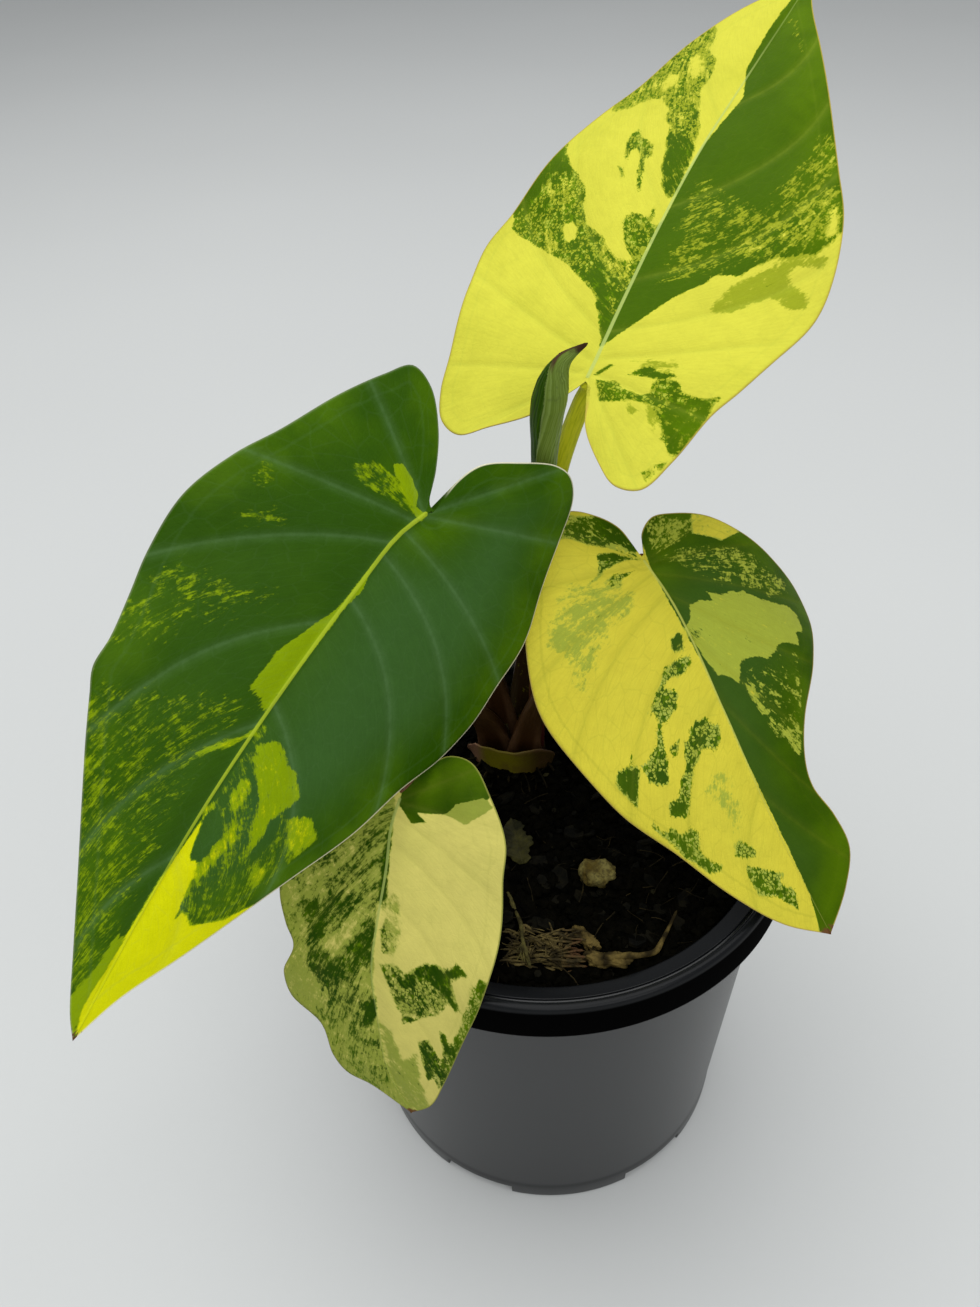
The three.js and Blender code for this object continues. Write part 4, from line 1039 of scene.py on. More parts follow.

# The painted patches, in blade millimetres. Each has a label, the level of the upper
# and of the lower green layer, from -3 for none to 3 for full, the softness of its edge, and its corners.
# Both layers look deep green, the upper one alone bright green, the lower alone olive, none yellow.
# Later patches lie over earlier ones, and the ground is the level of both layers outside them all.
GROUND = {"back": -3, "left": 3, "right": -3, "low": -3}
PATCHES = {
    "back": """
    band 0.9 0.6 0.6: 33,36 31,32 28,31 26,28 21.5,15.5 16,6 8.5,1.5 5,0.5 24,0.5 25,2.5 25,6 26,8.5
      28.5,9.5 31.5,15 35.5,17.5 39,18.5 43.5,24.5 46.5,27 50.5,28.5;
    band margin 1.3 1.1 1: 35,32.5 41.5,29.5 49.5,27.5 46.5,27 43.5,24.5 41.5,21.5 41.5,26 36,28 31,32;
    band foot dark 1.2 1 1: 21.5,9.5 23.5,8.5 18,4.5 12.5,1 7,0;
    band middle 0.4 0.3 1.5: 38,28 41,26 41,22 38,19 33.5,18 32,21.5 34,26;
    band foot 0.1 0.2 0.8: 28.5,9.5 25.5,6 25,2.5 22.5,1 20.5,2.5 21.5,5 25,9.5;
    band fleck -0.3 0 0.6: 29,23.5 28,21 25.5,18.5 23,18 23,19.5 26,22;
    round spot -3 -3 0.4: 29,19 30,19 30.5,18 29.5,16.5 27.5,16 26.5,16.5 27.5,18;
    island 0.6 0.4 0.6: 51,16 54,16.5 56,15 53.5,13 52,10 49,9 48,10 39,7 40.5,9 45,11 48,11.5 50,13
      49.5,14 46.5,13 47,14.5;
    island 0.9 0.5 0.5: 45,15 45.5,13.5 42.5,12 42,13;
    island 0.7 0.4 0.6: 33,8.5 35.5,7.5 35.5,4 38.5,4 37,2.5 34.5,2.5 35,-0.5 29.5,1 24,0.5 23,1 28.5,6;
    upper band 0.2 0.5 0.6: 59,23 64,25 79,17 89.5,13 82,10 79,10 76.5,7.5 72.5,6.5 68,7 58,3 53.5,2
      42.5,1 40,2 42.5,4.5 57,9.5 59,11.5 61,11.5 63.5,14 63.5,17 60.5,19.5;
    upper band root 0.9 1 1: 54,8.5 55.5,6.5 53.5,2 42.5,1 40,2 42.5,4.5 46.5,6.5;
    yellow blob -1.1 -0.8 0.6: 68,16 70.5,15 70.5,13 67.5,12.5 66,15;
    yellow blob -1.1 -0.8 0.6: 75,13 77,12 76,10 72.5,9 70.5,10 71.5,11.5;
    right half 3 3 0.4: 6.5,0.5 20,-8.5 24.5,-12.5 26.5,-13 28,-17.5 32.5,-20.5 37,-28.5 44.5,-32
      63.5,-26.5 99.5,-9 105.5,-1.5 99.5,0 87,1 75.5,1 68,-1.5 54,1;
    streaks 0.45 1.3 3: 21,-3 32.5,-1 44.5,-0.5 49.5,-1.5 46,-6.5 43.5,-15 54.5,-16.5 63,-21 58.5,-25
      46.5,-30.5 40,-30 35.5,-26 32.5,-20.5 21,-6.5;
    outer streaks 0.25 0.8 2: 29.5,-12 35,-13.5 42.5,-19.5 50,-22.5 54.5,-26 46,-29.5 40,-29.5 36,-26
      33,-20.5 30,-17;
    margin flecks 0.4 0.9 1.5: 64.5,-17.5 64.5,-21.5 58.5,-25 56,-23 56,-20;
    tip flecks 0.7 1 1.5: 92,0.5 91.5,-4 83.5,-9 78,-11 80.5,-8;
    olive patch -1.5 1.3 1.2: 19,-15.5 22,-15.5 26,-17 30.5,-20.5 34.5,-24.5 37.5,-31 34.5,-30.5
      33.5,-26.5 31.5,-25.5 29,-31 26,-30.5 25,-28.5 26,-24 20,-19;
    olive cloud -1.5 0.35 2: 5,-6 7.5,-9 8.5,-15.5 6.5,-17 4,-13.5 4,-8.5;
    margin blob -1.2 -1 0.6: 46.5,-27.5 46.5,-29 42,-30.5 40.5,-29.5 42,-28.5;
    wedge 1.2 1.2 0.4: 0.5,-0.5 2.5,-1.5 4,-3 3.5,-4 1,-2;
    wedge 1.1 1 0.6: 2.5,-7 4.5,-8.5 5.5,-10.5 5,-11.5 5,-16 3.5,-13.5;
    lobe patch 0.9 0.6 0.6: 0,-1.5 1,-5.5 0,-7 0,-10.5 0.5,-12 3,-11.5 4.5,-16 2.5,-18 2.5,-21 4,-24.5
      -6,-22.5 -8.5,-21.5 -9.5,-20 -7.5,-18.5 -7.5,-17.5 -4.5,-16 -3,-14.5 -2,-12 -2,-9.5 -3.5,-6.5 -4,-4;
    lobe core 0.8 1 1.2: -3.5,-16 -0.5,-16.5 3.5,-24 -7,-22 -9.5,-20;
    lobe olive -1 0.8 1: -1.5,-12 -3,-15 -6,-16.5 -7,-16 -5.5,-14;
    lobe olive -0.6 0.8 1: -2.5,-8 -2,-10 -3.5,-12 -5,-11 -4.5,-9.5;
    lobe flecks 0 0 0.8: -14.5,-16.5 -12.5,-17 -8,-22 -16,-18.5""",
    "left": """
    streaks by the fourth vein 0.75 1.4 4: 33.5,-35.5 29,-31.5 22.5,-12 26.5,-11.5 45.5,-28 49,-34.5;
    streaks to the tip 0.75 1.4 4: 51.5,-33 40,-9 42,-5 51,-9.5 84,-3.5 104,-2 57,-33;
    streaks at the margin 0.55 1.3 4: 54,-31.5 52,-28.5 65.5,-19.5 74,-11 90,-4.5 104,-2 57,-33;
    margin stripe 0.4 1.4 1.5: 55,-30 54,-28 70,-17.5 76,-15 80.5,-12 81,-13 76,-17.5;
    lobe flecks 0.5 1.4 2: 11,-31 7.5,-27 12,-24 14.5,-28;
    lobe flecks 0.5 1.4 2: 18,-28.5 12,-22 15.5,-18.5 20.5,-25.5;
    notch blotch -3 2.6 0.4: -3.5,-10.5 -4.5,-9 -3.5,-6.5 -2,-4 0,-3 0,-0.5 1.5,-1 0.5,-7;
    notch mottle 0.2 1 0.8: 3,-15.5 0.5,-16.5 -1.5,-14.5 -2.5,-12 -2,-8.5 0,-5 0.5,-2.5 2,-4.5;
    midrib strip -3 2.6 0.3: 12,-4 22.5,-5 21.5,-4 16.5,-3;
    midrib patch -3 2.6 0.4: 22,-5 32.5,-9.5 37.5,-10 40.5,-10 40,-8.5 42,-5.5 22.5,-4;
    yellow wedge -1.5 0.6 0.4: 54,-11.5 50.5,-9.5 47,-6 43.5,-5 46,-4.5 50,-7;
    mottle by the midrib 0.4 0.9 0.6: 44,-5 44,-3.5 51.5,-2 61.5,-4;
    mottle 0.6 1.1 0.6: 46.5,-3 50,-3 55.5,1.5 64.5,7.5 59.5,8 55,6.5 54.5,10 55.5,15.5 72,11.5 76.5,10
      78,8 78.5,4 77,1.5 69.5,0 64.5,-3 57.5,-2.5 52,-3.5;
    mottle olive -1 1 0.5: 59,-0.5 56.5,-2.5 53,-2.5 53,-1 56,0;
    mottle olive -0.8 1 0.5: 65.5,0 62,0 59,1.5 62,3 65.5,2 72.5,1.5 71,0;
    mottle olive -0.6 0.8 0.6: 66,8.5 64,9.5 64.5,11 68,11 69,10;
    pale patch -1.5 1.4 0.4: 46,-2.5 45,-1 46,1.5 47.5,3 48,5 51,8 53,8 57,6 60,6.5 63,6 60,4 56,2.5
      50,-2.5 48,-3.5;
    bright patch -1.5 0.8 0.4: 58,10.5 55.5,9 54,9.5 55,11 53.5,10 53,12 55.5,15 58,15 60.5,14 60,12.5;
    yellow tip -3 -3 0.4: 59,-4 61.5,-4 68.5,-2 68.5,-0.5 78.5,2 77,2.5 78.5,5 75.5,9.5 69.5,13.5 92.5,7
      105.5,1 98.5,-2 74,-4;
    lime beside the blob -1 0.9 0.5: 61.5,-4.5 60,-5 58.5,-4 59,-2;
    dark blob 3 3 0.4: 62,-3 60.5,-2 63,0 68.5,-0.5 68,-2 65,-3;
    olive beside the tip -3 2.6 0.6: 90.5,-4 85,-4.5 85,-3 97,-2.5 103,-0.5 98,-4.5""",
    "right": """
    right half 3 3 0.3: 1.5,0.5 -4,1.5 -8,3 -10,10 -7,19.5 32.5,53 91,5 82.5,-2.5 71.5,-0.5 41,-0.5
      24.5,0.5;
    streaks 0.45 1.3 2: -0.5,3 0.5,11 4.5,22.5 14,31 19.5,33 18,24 14,18.5 10,10.5 2.5,3.5;
    lobe streaks 0.2 1.2 1: -7.5,4 -7.5,8 -4.5,15 -1.5,12.5 0,9 -0.5,4 -1.5,2;
    lobe yellow -1.5 -0.8 0.4: -1,12.5 -5,15 -3.5,21 2,25 2.5,18.5;
    pale patch -1.5 1.4 0.4: 11.5,4 11.5,6.5 13,9 10.5,8.5 12.5,11.5 12.5,14 14,17.5 17,21 20.5,28 23.5,29
      27,27.5 26,25.5 29,24 27,21 26.5,18.5 27.5,17.5 28,14.5 26.5,12 26,8 29.5,5.5 27.5,4 26,2 18,1 15,1
      14,2.5;
    patch specks -0.6 0.9 0.8: 14.5,2.5 16.5,4 19,3 18.5,1 15.5,1;
    mottle under the patch 0.85 1.3 1.5: 26,8.5 28,15 27,19 29.5,24 44.5,14 44,10 39.5,7.5 30.5,6.5;
    pale flecks 0 1.2 0.8: 38,6.5 38.5,9 42,11.5 42,14 44.5,13.5 48.5,11 47,9.5 43.5,9 42,7;
    olive fleck -0.3 0.8 0.8: 29.5,6 29.5,7.5 37.5,8.5 37,6.5;
    far lobe 0.6 0.9 0.8: -12,-15 -16,-10 -11.5,-3.5 -6.5,-0.5 -0.5,-0.5 -5.5,-5.5 -7,-8.5 -10,-11;
    far lobe margin 1.1 1.1 0.8: -15,-5 -8.5,0 -2,0 -3.5,-2.5 -8.5,-5.5;
    fan 1 0.9 0.5: -5.5,-8 -4.5,-5 -0.5,-0.5 -1.5,-4 -1.5,-8 -0.5,-10.5 -0.5,-12.5 -2,-9.5;
    fan 0.8 0.6 0.5: 2,-14 -0.5,-7 1,-2 1.5,-5.5 3,-7;
    fan stripe -1 0.5 0.4: -6.5,-6.5 -5,-3 -1.5,-0.5;
    olive haze -1.5 -0.15 3: 6.5,-26 -1.5,-20.5 -4.5,-15.5 5,-3.5 7.5,-5 9.5,-12 19.5,-22 17.5,-25
      11.5,-24.5;
    olive cloud -1.2 0.45 2.5: 6,-24.5 3,-21 3,-11.5 5,-5.5 7.5,-7.5 7,-12 12,-18;
    midrib blotch 1.1 1.2 0.4: 16,-3.5 15,-1 16,0 19,-1.5 19,-3.5 18,-4;
    first band 0.95 0.4 0.8: 20,-0.5 22,-1.5 23.5,-4 23,-6.5 23.5,-8.5 24.5,-7 26,-6.5 28.5,-8.5 30,-11
      30,-12.5 36.5,-14.5 40,-16.5 39,-20 35.5,-20 41.5,-24 36,-25.5 33.5,-24 33.5,-21.5 30,-19 34,-20.5
      34,-18 32,-15 30,-14.5 29,-13 27.5,-13 27.5,-14.5 20,-7 19.5,-2.5;
    first band foot 1.3 1.2 0.5: 33.5,-24 34,-22 36,-20.5 41.5,-23.5 36,-25.5;
    first band foot 1.1 1 0.5: 37.5,-18 38,-15.5 40.5,-16.5 39.5,-19;
    second band 0.9 0.4 0.8: 31.5,-6 32,-3.5 33.5,-3.5 34,-1.5 37.5,-3 39,-5.5 37.5,-7.5 40,-10.5 48,-15.5
      46,-19 43,-18 43.5,-16.5 40,-14 39,-12.5 34,-10.5 34,-9 32.5,-8.5;
    second band foot 1.2 1 0.5: 43,-18 44,-15.5 45.5,-15 47.5,-16 46,-19;
    between bands 0.4 0 0.6: 34,-13.5 33,-10.5 36,-11.5 37,-14;
    margin band 0.85 0.4 0.8: 44.5,-22 47.5,-21 47.5,-19 49.5,-18 49,-16 51,-14.5 54,-16 56,-15.5
      58.5,-13.5 60,-14 59.5,-16.5 54,-20 51.5,-20.5 47,-23;
    margin band core 1.2 1 0.5: 50,-20 50,-18.5 56.5,-17 55.5,-18.5;
    tip blotch 0.9 0.5 0.6: 55.5,-10 56,-8 59,-6.5 60.5,-7 58.5,-11.5;
    tip blotch 0.95 0.5 0.6: 60,-10 65.5,-3 67,-5 69,-2.5 73.5,-4 69,-7 67.5,-10 63.5,-10.5;
    faint cloud -1 0.2 2: 44,-11.5 41.5,-7.5 42.5,-5 50,-5 54.5,-7 55.5,-9.5 50,-9.5""",
    "low": """
    pale half -0.5 1.1 0.3: 3,-0.5 23.5,-2.5 43.5,-2.5 67,1 78,-21 49.5,-35 21.5,-34 2.5,-16.5 -3.5,-1.5;
    pale margin -1.3 0.9 2.5: 30.5,-21.5 34.5,-19 36,-16 40,-14 43.5,-13.5 46.5,-20 42.5,-24.5;
    streaks 0 1 2: 0.5,-0.5 8.5,-7.5 12,-14 18,-19.5 22.5,-19 26.5,-17 35.5,-17 39,-13 37.5,-8.5 34,-3.5
      25,-2 15.5,-2;
    dense streaks 0.7 1 1: 23,-18 21,-13.5 18,-9 21.5,-10 26,-13.5 31,-14 34,-12 24,-2.5 31,-3 36.5,-7
      38.5,-12.5 35.5,-16.5 27.5,-17;
    pale streak -0.9 0.2 1: 29.5,-13.5 26,-9.5 21,-5.5 21.5,-4.5 26.5,-7 31.5,-11;
    pale streak -0.6 0.8 1: 20.5,-18.5 15,-14.5 13,-9.5 21.5,-16.5;
    strip by the midrib 1 0.9 0.5: 19,-2.5 6.5,-1.5 5.5,-0.5 20.5,0 21,-1;
    lower mottle -0.1 1 2: 42,-14 37.5,-8.5 37,-2.5 58.5,-2 61.5,-4.5 57.5,-10.5 46,-14;
    lower blob 1.2 0.9 0.8: 40.5,-5 38.5,-2 43,-2 45,-4.5;
    lobe 3 3 0.4: 1,0 -8.5,0.5 -13,8 -11,15.5 -4.5,18 -1,16 1.5,10 2,4 3.5,6 4,3;
    lobe olive -3 2.6 0.5: 1.5,9.5 -0.5,11 -2.5,16 -1,18 3,13.5;
    specks by the midrib -0.7 0.2 1: 18.5,-0.5 16.5,1 18,2.5 24.5,3.5 29.5,2 26.5,-0.5;
    specks by the midrib 0.5 0.6 0.6: 24.5,-1.5 22,0 27,0.5 29,1.5 29.5,-1;
    olive foot -1.2 1 1.5: 43.5,-2 45,1.5 50.5,3 49,6 65.5,7.5 68.5,-0.5;
    mottle 0.3 0.6 0.8: 31,-1.5 40.5,2.5 41,7 39.5,11 35.5,13.5 38,15 31.5,17.5 29,13 29,8 31.5,4 30,2;
    arc 1 0.9 0.5: 31,2.5 33.5,3.5 29.5,7.5 29,10 30,12 27.5,14 30,17 31,15.5 31,13 35.5,14 37.5,15
      38.5,14 35,12 32,8 35,5 35,3;
    hole -3 -3 0.5: 32,13.5 30.5,15.5 31,17 37.5,15;
    margin strip 1 0.5 0.6: 32,17.5 30,18.5 30,20.5 32.5,20.5 45,16 55.5,11.5 57.5,9.5 54,8.5 43.5,13.5;
    blob 1.2 1 0.5: 40.5,3 43,3 42.5,5 41,7;
    lower blotch 1.1 0.8 0.6: 46,6 45,8.5 49.5,10.5 53.5,10 55.5,7.5;
    branch 1 0.8 0.6: 42.5,10.5 43.5,12 47,13 50,12.5 49.5,11""",
}


def inside_distance(points, corners):
    """How far inside a closed outline each point lies, and below zero outside it."""
    nearest = np.full(len(points), np.inf)
    crossings = np.zeros(len(points), int)
    for a, b in zip(corners, np.roll(corners, -1, axis=0)):
        nearest = np.minimum(nearest, line_distance(points, a, b))
        if a[1] != b[1]:
            across = a[0] + (points[:, 1] - a[1]) / (b[1] - a[1]) * (b[0] - a[0])
            between = (points[:, 1] < max(a[1], b[1])) & (points[:, 1] >= min(a[1], b[1]))
            crossings += between & (points[:, 0] < across)
    return np.where(crossings % 2 == 1, nearest, -nearest)


def line_distance(points, a, b):
    """The distance of each point from the straight line between two others."""
    way = b - a
    share = np.clip(((points - a) @ way) / max(way @ way, 1e-9), 0, 1)
    return np.linalg.norm(points - (a + share[:, None] * way), axis=1)


def spots(text):
    """The points of an outline that is written as pairs with commas."""
    return np.array([spot.split(",") for spot in text.split()], float)


def painted(points, ground, patches):
    """The level of the upper and the lower green layer at each point."""
    levels = np.full((len(points), 2), float(ground))
    for patch in patches.split(";"):
        head, outline = patch.split(":")
        *target, soft = [float(word) for word in head.split()[-3:]]
        share = smooth_step(0.5 + inside_distance(points, spots(outline)) / (2 * max(soft, 0.6)))
        levels += (np.array(target) - levels) * share[:, None]
    return levels


def on_blade(leaf, flat, lift):
    """Where points of the flat blade lie once it is curled and set on its stalk."""
    forward, side, normal = blade_axes(leaf)
    along, across = flat.T
    size, length, phase = leaf["swell"]
    height = size * (across / 30) ** 2 * np.sin(2 * math.pi * along / length + phase) + lift
    height = height - np.where(across > 0, *leaf["droop"]) * across**2
    bend = leaf["arch"] * np.maximum(along, 0)
    ahead = np.sin(bend) / leaf["arch"] + np.minimum(along, 0) + height * np.sin(bend)
    up = (np.cos(bend) - 1) / leaf["arch"] + height * np.cos(bend)
    shift = np.outer(ahead, forward) + np.outer(across, side) + np.outer(up, normal)
    return np.array(leaf["base"]) + shift


def half_blade(shape, sign, outline, vein_ends, bend):
    """A grid of points over half a blade. Its rows run from the midrib to the margin as the side
    veins do, and come with their vein number, the gap between veins and their flow coordinates."""
    rows = np.linspace(0, 1, BLADE_ROWS + 1)
    shares = np.linspace(0, 1, BLADE_COLUMNS + 1) ** 1.3
    margin = smooth_curve([(-1, 0), *spots(outline), shape["tip"]], BLADE_ROWS + 1)
    midrib = smooth_curve([*spots(shape["midrib"]), shape["tip"]], 200)
    along = shape["tip"][0] * rows**3.8
    root = np.stack([along, np.interp(along, midrib[:, 0], midrib[:, 1])], -1)
    way = margin - root
    bow = bend * smooth_step((rows - 0.3) / 0.35) * smooth_step((1 - rows) / 0.12)
    outward = np.stack([-np.abs(way[:, 1]), way[:, 0] * sign], -1) * bow[:, None]
    arc = 4 * shares * (1 - shares)
    grid = root[:, None] + way[:, None] * shares[:, None] + outward[:, None] * arc[:, None]
    numbers = [0.45, *range(1, len(vein_ends) + 1), len(vein_ends) + 0.55]
    vein = np.interp(rows, [0, *vein_ends, 1], numbers)
    vein = np.repeat(vein[:, None], BLADE_COLUMNS + 1, axis=1)
    step = np.gradient(grid, axis=0)
    run = np.gradient(grid, axis=1)
    run /= np.linalg.norm(run, axis=2)[..., None] + 1e-9
    gap = np.abs(step[..., 0] * run[..., 1] - step[..., 1] * run[..., 0])
    gap = gap / np.maximum(np.gradient(vein, axis=0), 1e-4)
    middle = np.linalg.norm(np.gradient(grid[:, BLADE_COLUMNS // 2], axis=0), axis=1)
    flow = np.zeros((*grid.shape[:2], 3))
    flow[..., 0] = np.cumsum(middle)[:, None]
    flow[..., 1] = np.linalg.norm(way, axis=1)[:, None] * shares * sign
    width = np.repeat(shares[None], BLADE_ROWS + 1, axis=0)
    return grid, vein, gap, flow, width


def blade_mesh(name, leaf, shape):
    """The closed sheet of a blade, with its veins, and all that its finish needs as attributes."""
    left = half_blade(shape, 1, shape["left"], shape["veins"][0], shape["bow"][0])
    right = half_blade(shape, -1, shape["right"], shape["veins"][1], shape["bow"][1])
    grid, vein, gap, flow, width = [np.concatenate([a[:, :0:-1], b], axis=1) for a, b in zip(left, right)]
    rows, columns = grid.shape[:2]
    count = rows * columns
    flat = grid.reshape(-1, 2)
    outline = np.vstack([left[0][:, -1], right[0][::-1, -1]])
    edge = np.maximum(inside_distance(flat, outline), 0)
    midrib = smooth_curve([*spots(shape["midrib"]), shape["tip"]], 40)
    rib = np.min([line_distance(flat, a, b) for a, b in zip(midrib, midrib[1:])], axis=0)
    rib_width = MIDRIB_WIDTH * (0.25 + 0.75 * np.clip(1 - flat[:, 0] / shape["tip"][0], 0, 1) ** 0.7)
    rib_width *= np.clip(1 + flat[:, 0] / 6, 0.2, 1) * RIBS[name]
    levels = painted(flat, GROUND[name], PATCHES[name])

    vein, gap, width = vein.ravel(), gap.ravel(), width.ravel()
    from_vein = np.abs(vein - np.round(vein)) * gap
    valley = bell(from_vein, VEIN_WIDTH) * np.clip(edge / 3, 0, 1) * np.clip(width / 0.05, 0, 1)
    quilt = np.clip(gap / QUILTED_GAP, 0, 1) * np.sin(math.pi * vein) ** 2
    quilt *= np.clip(width * 5, 0, 1) * np.clip(edge / 6, 0, 1)
    ridge = bell(rib, rib_width)
    taper = np.clip(edge / EDGE_TAPER, 0, 1)
    thickness = MARGIN_THICKNESS + (BLADE_THICKNESS - MARGIN_THICKNESS) * taper
    middle = QUILTS[name] * (quilt - VALLEY_SHARE * valley) - FURROW_DEPTH * bell(rib, FURROW_WIDTH) * taper
    keel = KEEL_DEPTH * bell(rib, KEEL_WIDENING * rib_width) * rib_width / MIDRIB_WIDTH + 0.3 * valley
    top = on_blade(leaf, flat, middle + thickness / 2 + MIDRIB_HEIGHT * ridge)
    bottom = on_blade(leaf, flat, middle - thickness / 2 - keel)

    index = np.arange(count).reshape(rows, columns)
    upper = np.stack([index[:-1, :-1], index[:-1, 1:], index[1:, 1:], index[1:, :-1]], -1).reshape(-1, 4)
    rims = []
    for near, far in ((index[:-1, 0], index[1:, 0]), (index[1:, -1], index[:-1, -1])):
        rims.append(np.stack([near, far, far + count, near + count], -1))
    faces = np.vstack([upper, upper[:, ::-1] + count, *rims]).tolist()
    mesh = mesh_of(name, np.vstack([top, bottom]), faces)
    values = {
        "upper": levels[:, 0], "lower": levels[:, 1], "vein": vein, "vein_gap": gap, "edge": edge,
        "rib": rib / rib_width, "tipward": np.linalg.norm(flat - shape["tip"], axis=1),
        "flow": flow.reshape(-1, 3), "plan": np.column_stack([flat, np.zeros(count)]),
    }
    for label, value in values.items():
        mark(mesh, label, np.concatenate([value, value]))
    mark(mesh, "under", np.repeat([0.0, 1.0], count))
    return welded(mesh, 2e-6, outwards=False)


def cell_walls(vector, scale):
    """How far each place is from the nearest wall of an irregular net of cells."""
    inputs = {"Vector": vector, "Scale": scale}
    return put(
        vector.tree, "ShaderNodeTexVoronoi", inputs, voronoi_dimensions="2D", feature="DISTANCE_TO_EDGE"
    )


def variegation():
    """The node group that turns a blade's painted levels into mottled, veined tissue."""
    tree = bpy.data.node_groups.new("variegation", "ShaderNodeTree")
    given = group_inputs(tree, Color=TISSUE_COLOURS, Vector=["Streak Scale"], Float=TISSUE_LEVELS)
    for label, kind in (("Color", "Color"), ("Roughness", "Float"), ("Height", "Float")):
        tree.interface.new_socket(name=label, in_out="OUTPUT", socket_type="NodeSocket" + kind)
    seed = given["Seed"]
    flow = attribute(tree, "flow", "Vector")
    plan = attribute(tree, "plan", "Vector")
    upper_level, lower_level, edge, tipward, rib, under = [
        attribute(tree, name) for name in ("upper", "lower", "edge", "tipward", "rib", "under")
    ]

    # The jagged edge of each patch: clumps, streaks along the side veins, and blocks of cells.
    clumps = texture(plan, 0.42, 5, 0.72, seed)
    streaks = texture(vector_math("MULTIPLY", flow, given["Streak Scale"]), 1, 3, 0.65, seed)
    flecks = texture(vector_math("MULTIPLY", flow, (2.3, 0.8, 1)), 1, 3, 0.7, seed + 40)
    wobble = put(tree, "ShaderNodeCombineXYZ", {"X": flecks * 1.6, "Y": streaks})
    place = vector_math("ADD", plan, wobble)
    cells = {"Vector": place, "Scale": 1.5}
    cells = put(tree, "ShaderNodeTexVoronoi", cells, "Color", voronoi_dimensions="2D")
    first_block, second_block, hole_block = parts(cells)
    uneven = clumps * 4.2 + streaks * 5 - 4.6
    other = texture(plan, 0.42, 5, 0.72, seed + 20)
    first = uneven + flecks * 4 - 2 + first_block * 0.7 - 0.35 + upper_level
    second = other * 4.6 + streaks * 4 - flecks * 4 - 2.3 + second_block * 0.7 - 0.35 + lower_level

    # Lace: small pale holes between green cell walls, where a green patch lies on yellow.
    holes = ramp(hole_block, 0.2, 0.6) * ramp(cell_walls(place, 1.5), 0.03, 0.25)
    holes = holes * ramp(upper_level, 1.1, 1.6, 1, 0) * ramp(lower_level, 0.6, 0.9, 1, 0.15)
    upper = ramp((first - holes * given["Lace"]) / given["Softness"], -1, 1)
    lower = ramp(second / (given["Softness"] * 1.4), -1, 1)

    # Broad changes of tone: the greens are brighter toward the margin, the yellows never quite even.
    # A painted sheen, a paler and bluer colour that stands in for the sky's reflection, lies over the deep
    # green.
    clouds = texture(plan, 0.07, 3, 0.55, seed)
    across = parts(plan)[1]
    fresh = ramp(clouds, 0.35, 0.65) * ramp(edge, 0, 12, 0.55, 0.1)
    # The painted sheen covers one half of the blade, away from its margin: a reflection painted into the
    # colour.
    painted_sheen = ramp(edge, 3, 16) * ramp(across, -9, 6, given["Far Bloom"], 1) * given["Bloom Share"]
    deep = mix(painted_sheen, mix(fresh, given["Deep"], given["Bright"]), given["Bloom"])
    yellow = mix(ramp(clouds, 0.4, 0.7, 0, 0.14), given["Yellow"], given["Olive"])
    yellow = mix(ramp(upper_level - given["Fleck Level"], 0, 0.3), yellow, given["Fleck"])
    base = mix(upper, mix(lower, yellow, given["Olive"]), mix(lower, given["Bright"], deep))
    fibres = texture(vector_math("MULTIPLY", flow, (2.8, 0.22, 1)), 1, 3, 0.6, seed)
    tone = ramp(fibres * 0.5 + clumps * 0.5, 0.3, 0.7, 0.32, 0.68)
    base = mix(0.2, base, tone, "OVERLAY")

    # Side veins and the net between them, the midrib with its pale edges, the margin and the dry tip.
    from_vein = calculate("PINGPONG", attribute(tree, "vein"), 0.5) * attribute(tree, "vein_gap")
    vein = ramp(from_vein, 0.05, 0.5, 0.5, 0) + ramp(from_vein, 0, 1.7, 0.5, 0)
    shown = upper * (given["Green Veins"] - given["Vein Strength"]) + given["Vein Strength"]
    base = mix(vein * ramp(clumps, 0.3, 0.6, 0.5, 1) * shown, base, given["Vein"])
    small = cell_walls(vector_math("MULTIPLY", flow, (0.42, 0.2, 1)), 1)
    collecting = calculate("ABSOLUTE", edge - (clumps + 2.3))
    small = ramp(small, 0, 0.06, 0.5, 0) + ramp(collecting, 0.05, 0.4, 0.7, 0)
    base = mix(small * (1 - upper * 0.7) * shown, base, given["Vein"])
    base = mix(ramp(rib, 0.7, 1.1, 0.75, 0) * ramp(tipward, 15, 50, 0.3, 1), base, given["Midrib"])
    margin = ramp(edge, 0.08, 0.3, 0.85, 0) * ramp(vector_math("LENGTH", plan, out="Value"), 4, 7)
    base = mix(margin * ramp(across, -2, 2, given["Far Margin"], 1), base, given["Margin"])
    dry = (uneven + tipward) / given["Brown Tip"]
    base = mix(ramp(dry, 0.7, 1.1, 1, 0), base, colour(92, 62, 34))
    base = mix(under, base, mix(0.55, base, colour(164, 178, 118)))

    # A fine net and the pores between it, for the surface alone.
    grain = texture(flow, 7, 2, 0.6, seed)
    height = ramp(cell_walls(plan, 0.9), 0, 0.2) * 0.22 + grain * 0.4 + fibres * 0.5
    rough = grain * 0.16 + 0.34 + under * 0.15
    put(tree, "NodeGroupOutput", {"Color": base, "Roughness": rough, "Height": height})
    return tree


def blade_material(name, group, sheen, inputs):
    """A blade's finish: the tissue with this blade's own values, under a thin waxy sheen."""
    material, place = new_material(name)
    base, rough, height = all_outputs(put(place.tree, "ShaderNodeGroup", inputs, node_tree=group))
    return finished(material, base, rough, sheen, height, 0.00014, 0.45)


tissue_group = variegation()
for i, (name, leaf) in enumerate(LEAVES.items()):
    inputs = {label: colour(*seen[i]) for label, seen in TISSUE_COLOURS.items()}
    inputs |= {label: float(values[i]) for label, values in TISSUE_LEVELS.items()}
    inputs["Streak Scale"] = STREAK_SCALES[i]
    material = blade_material(f"blade_{name}", tissue_group, SHEENS[i], inputs)
    mesh = blade_mesh(name, leaf, SHAPES[name])
    add_piece(f"{name}_blade", mesh, material, f"leaf_blade_{name}")


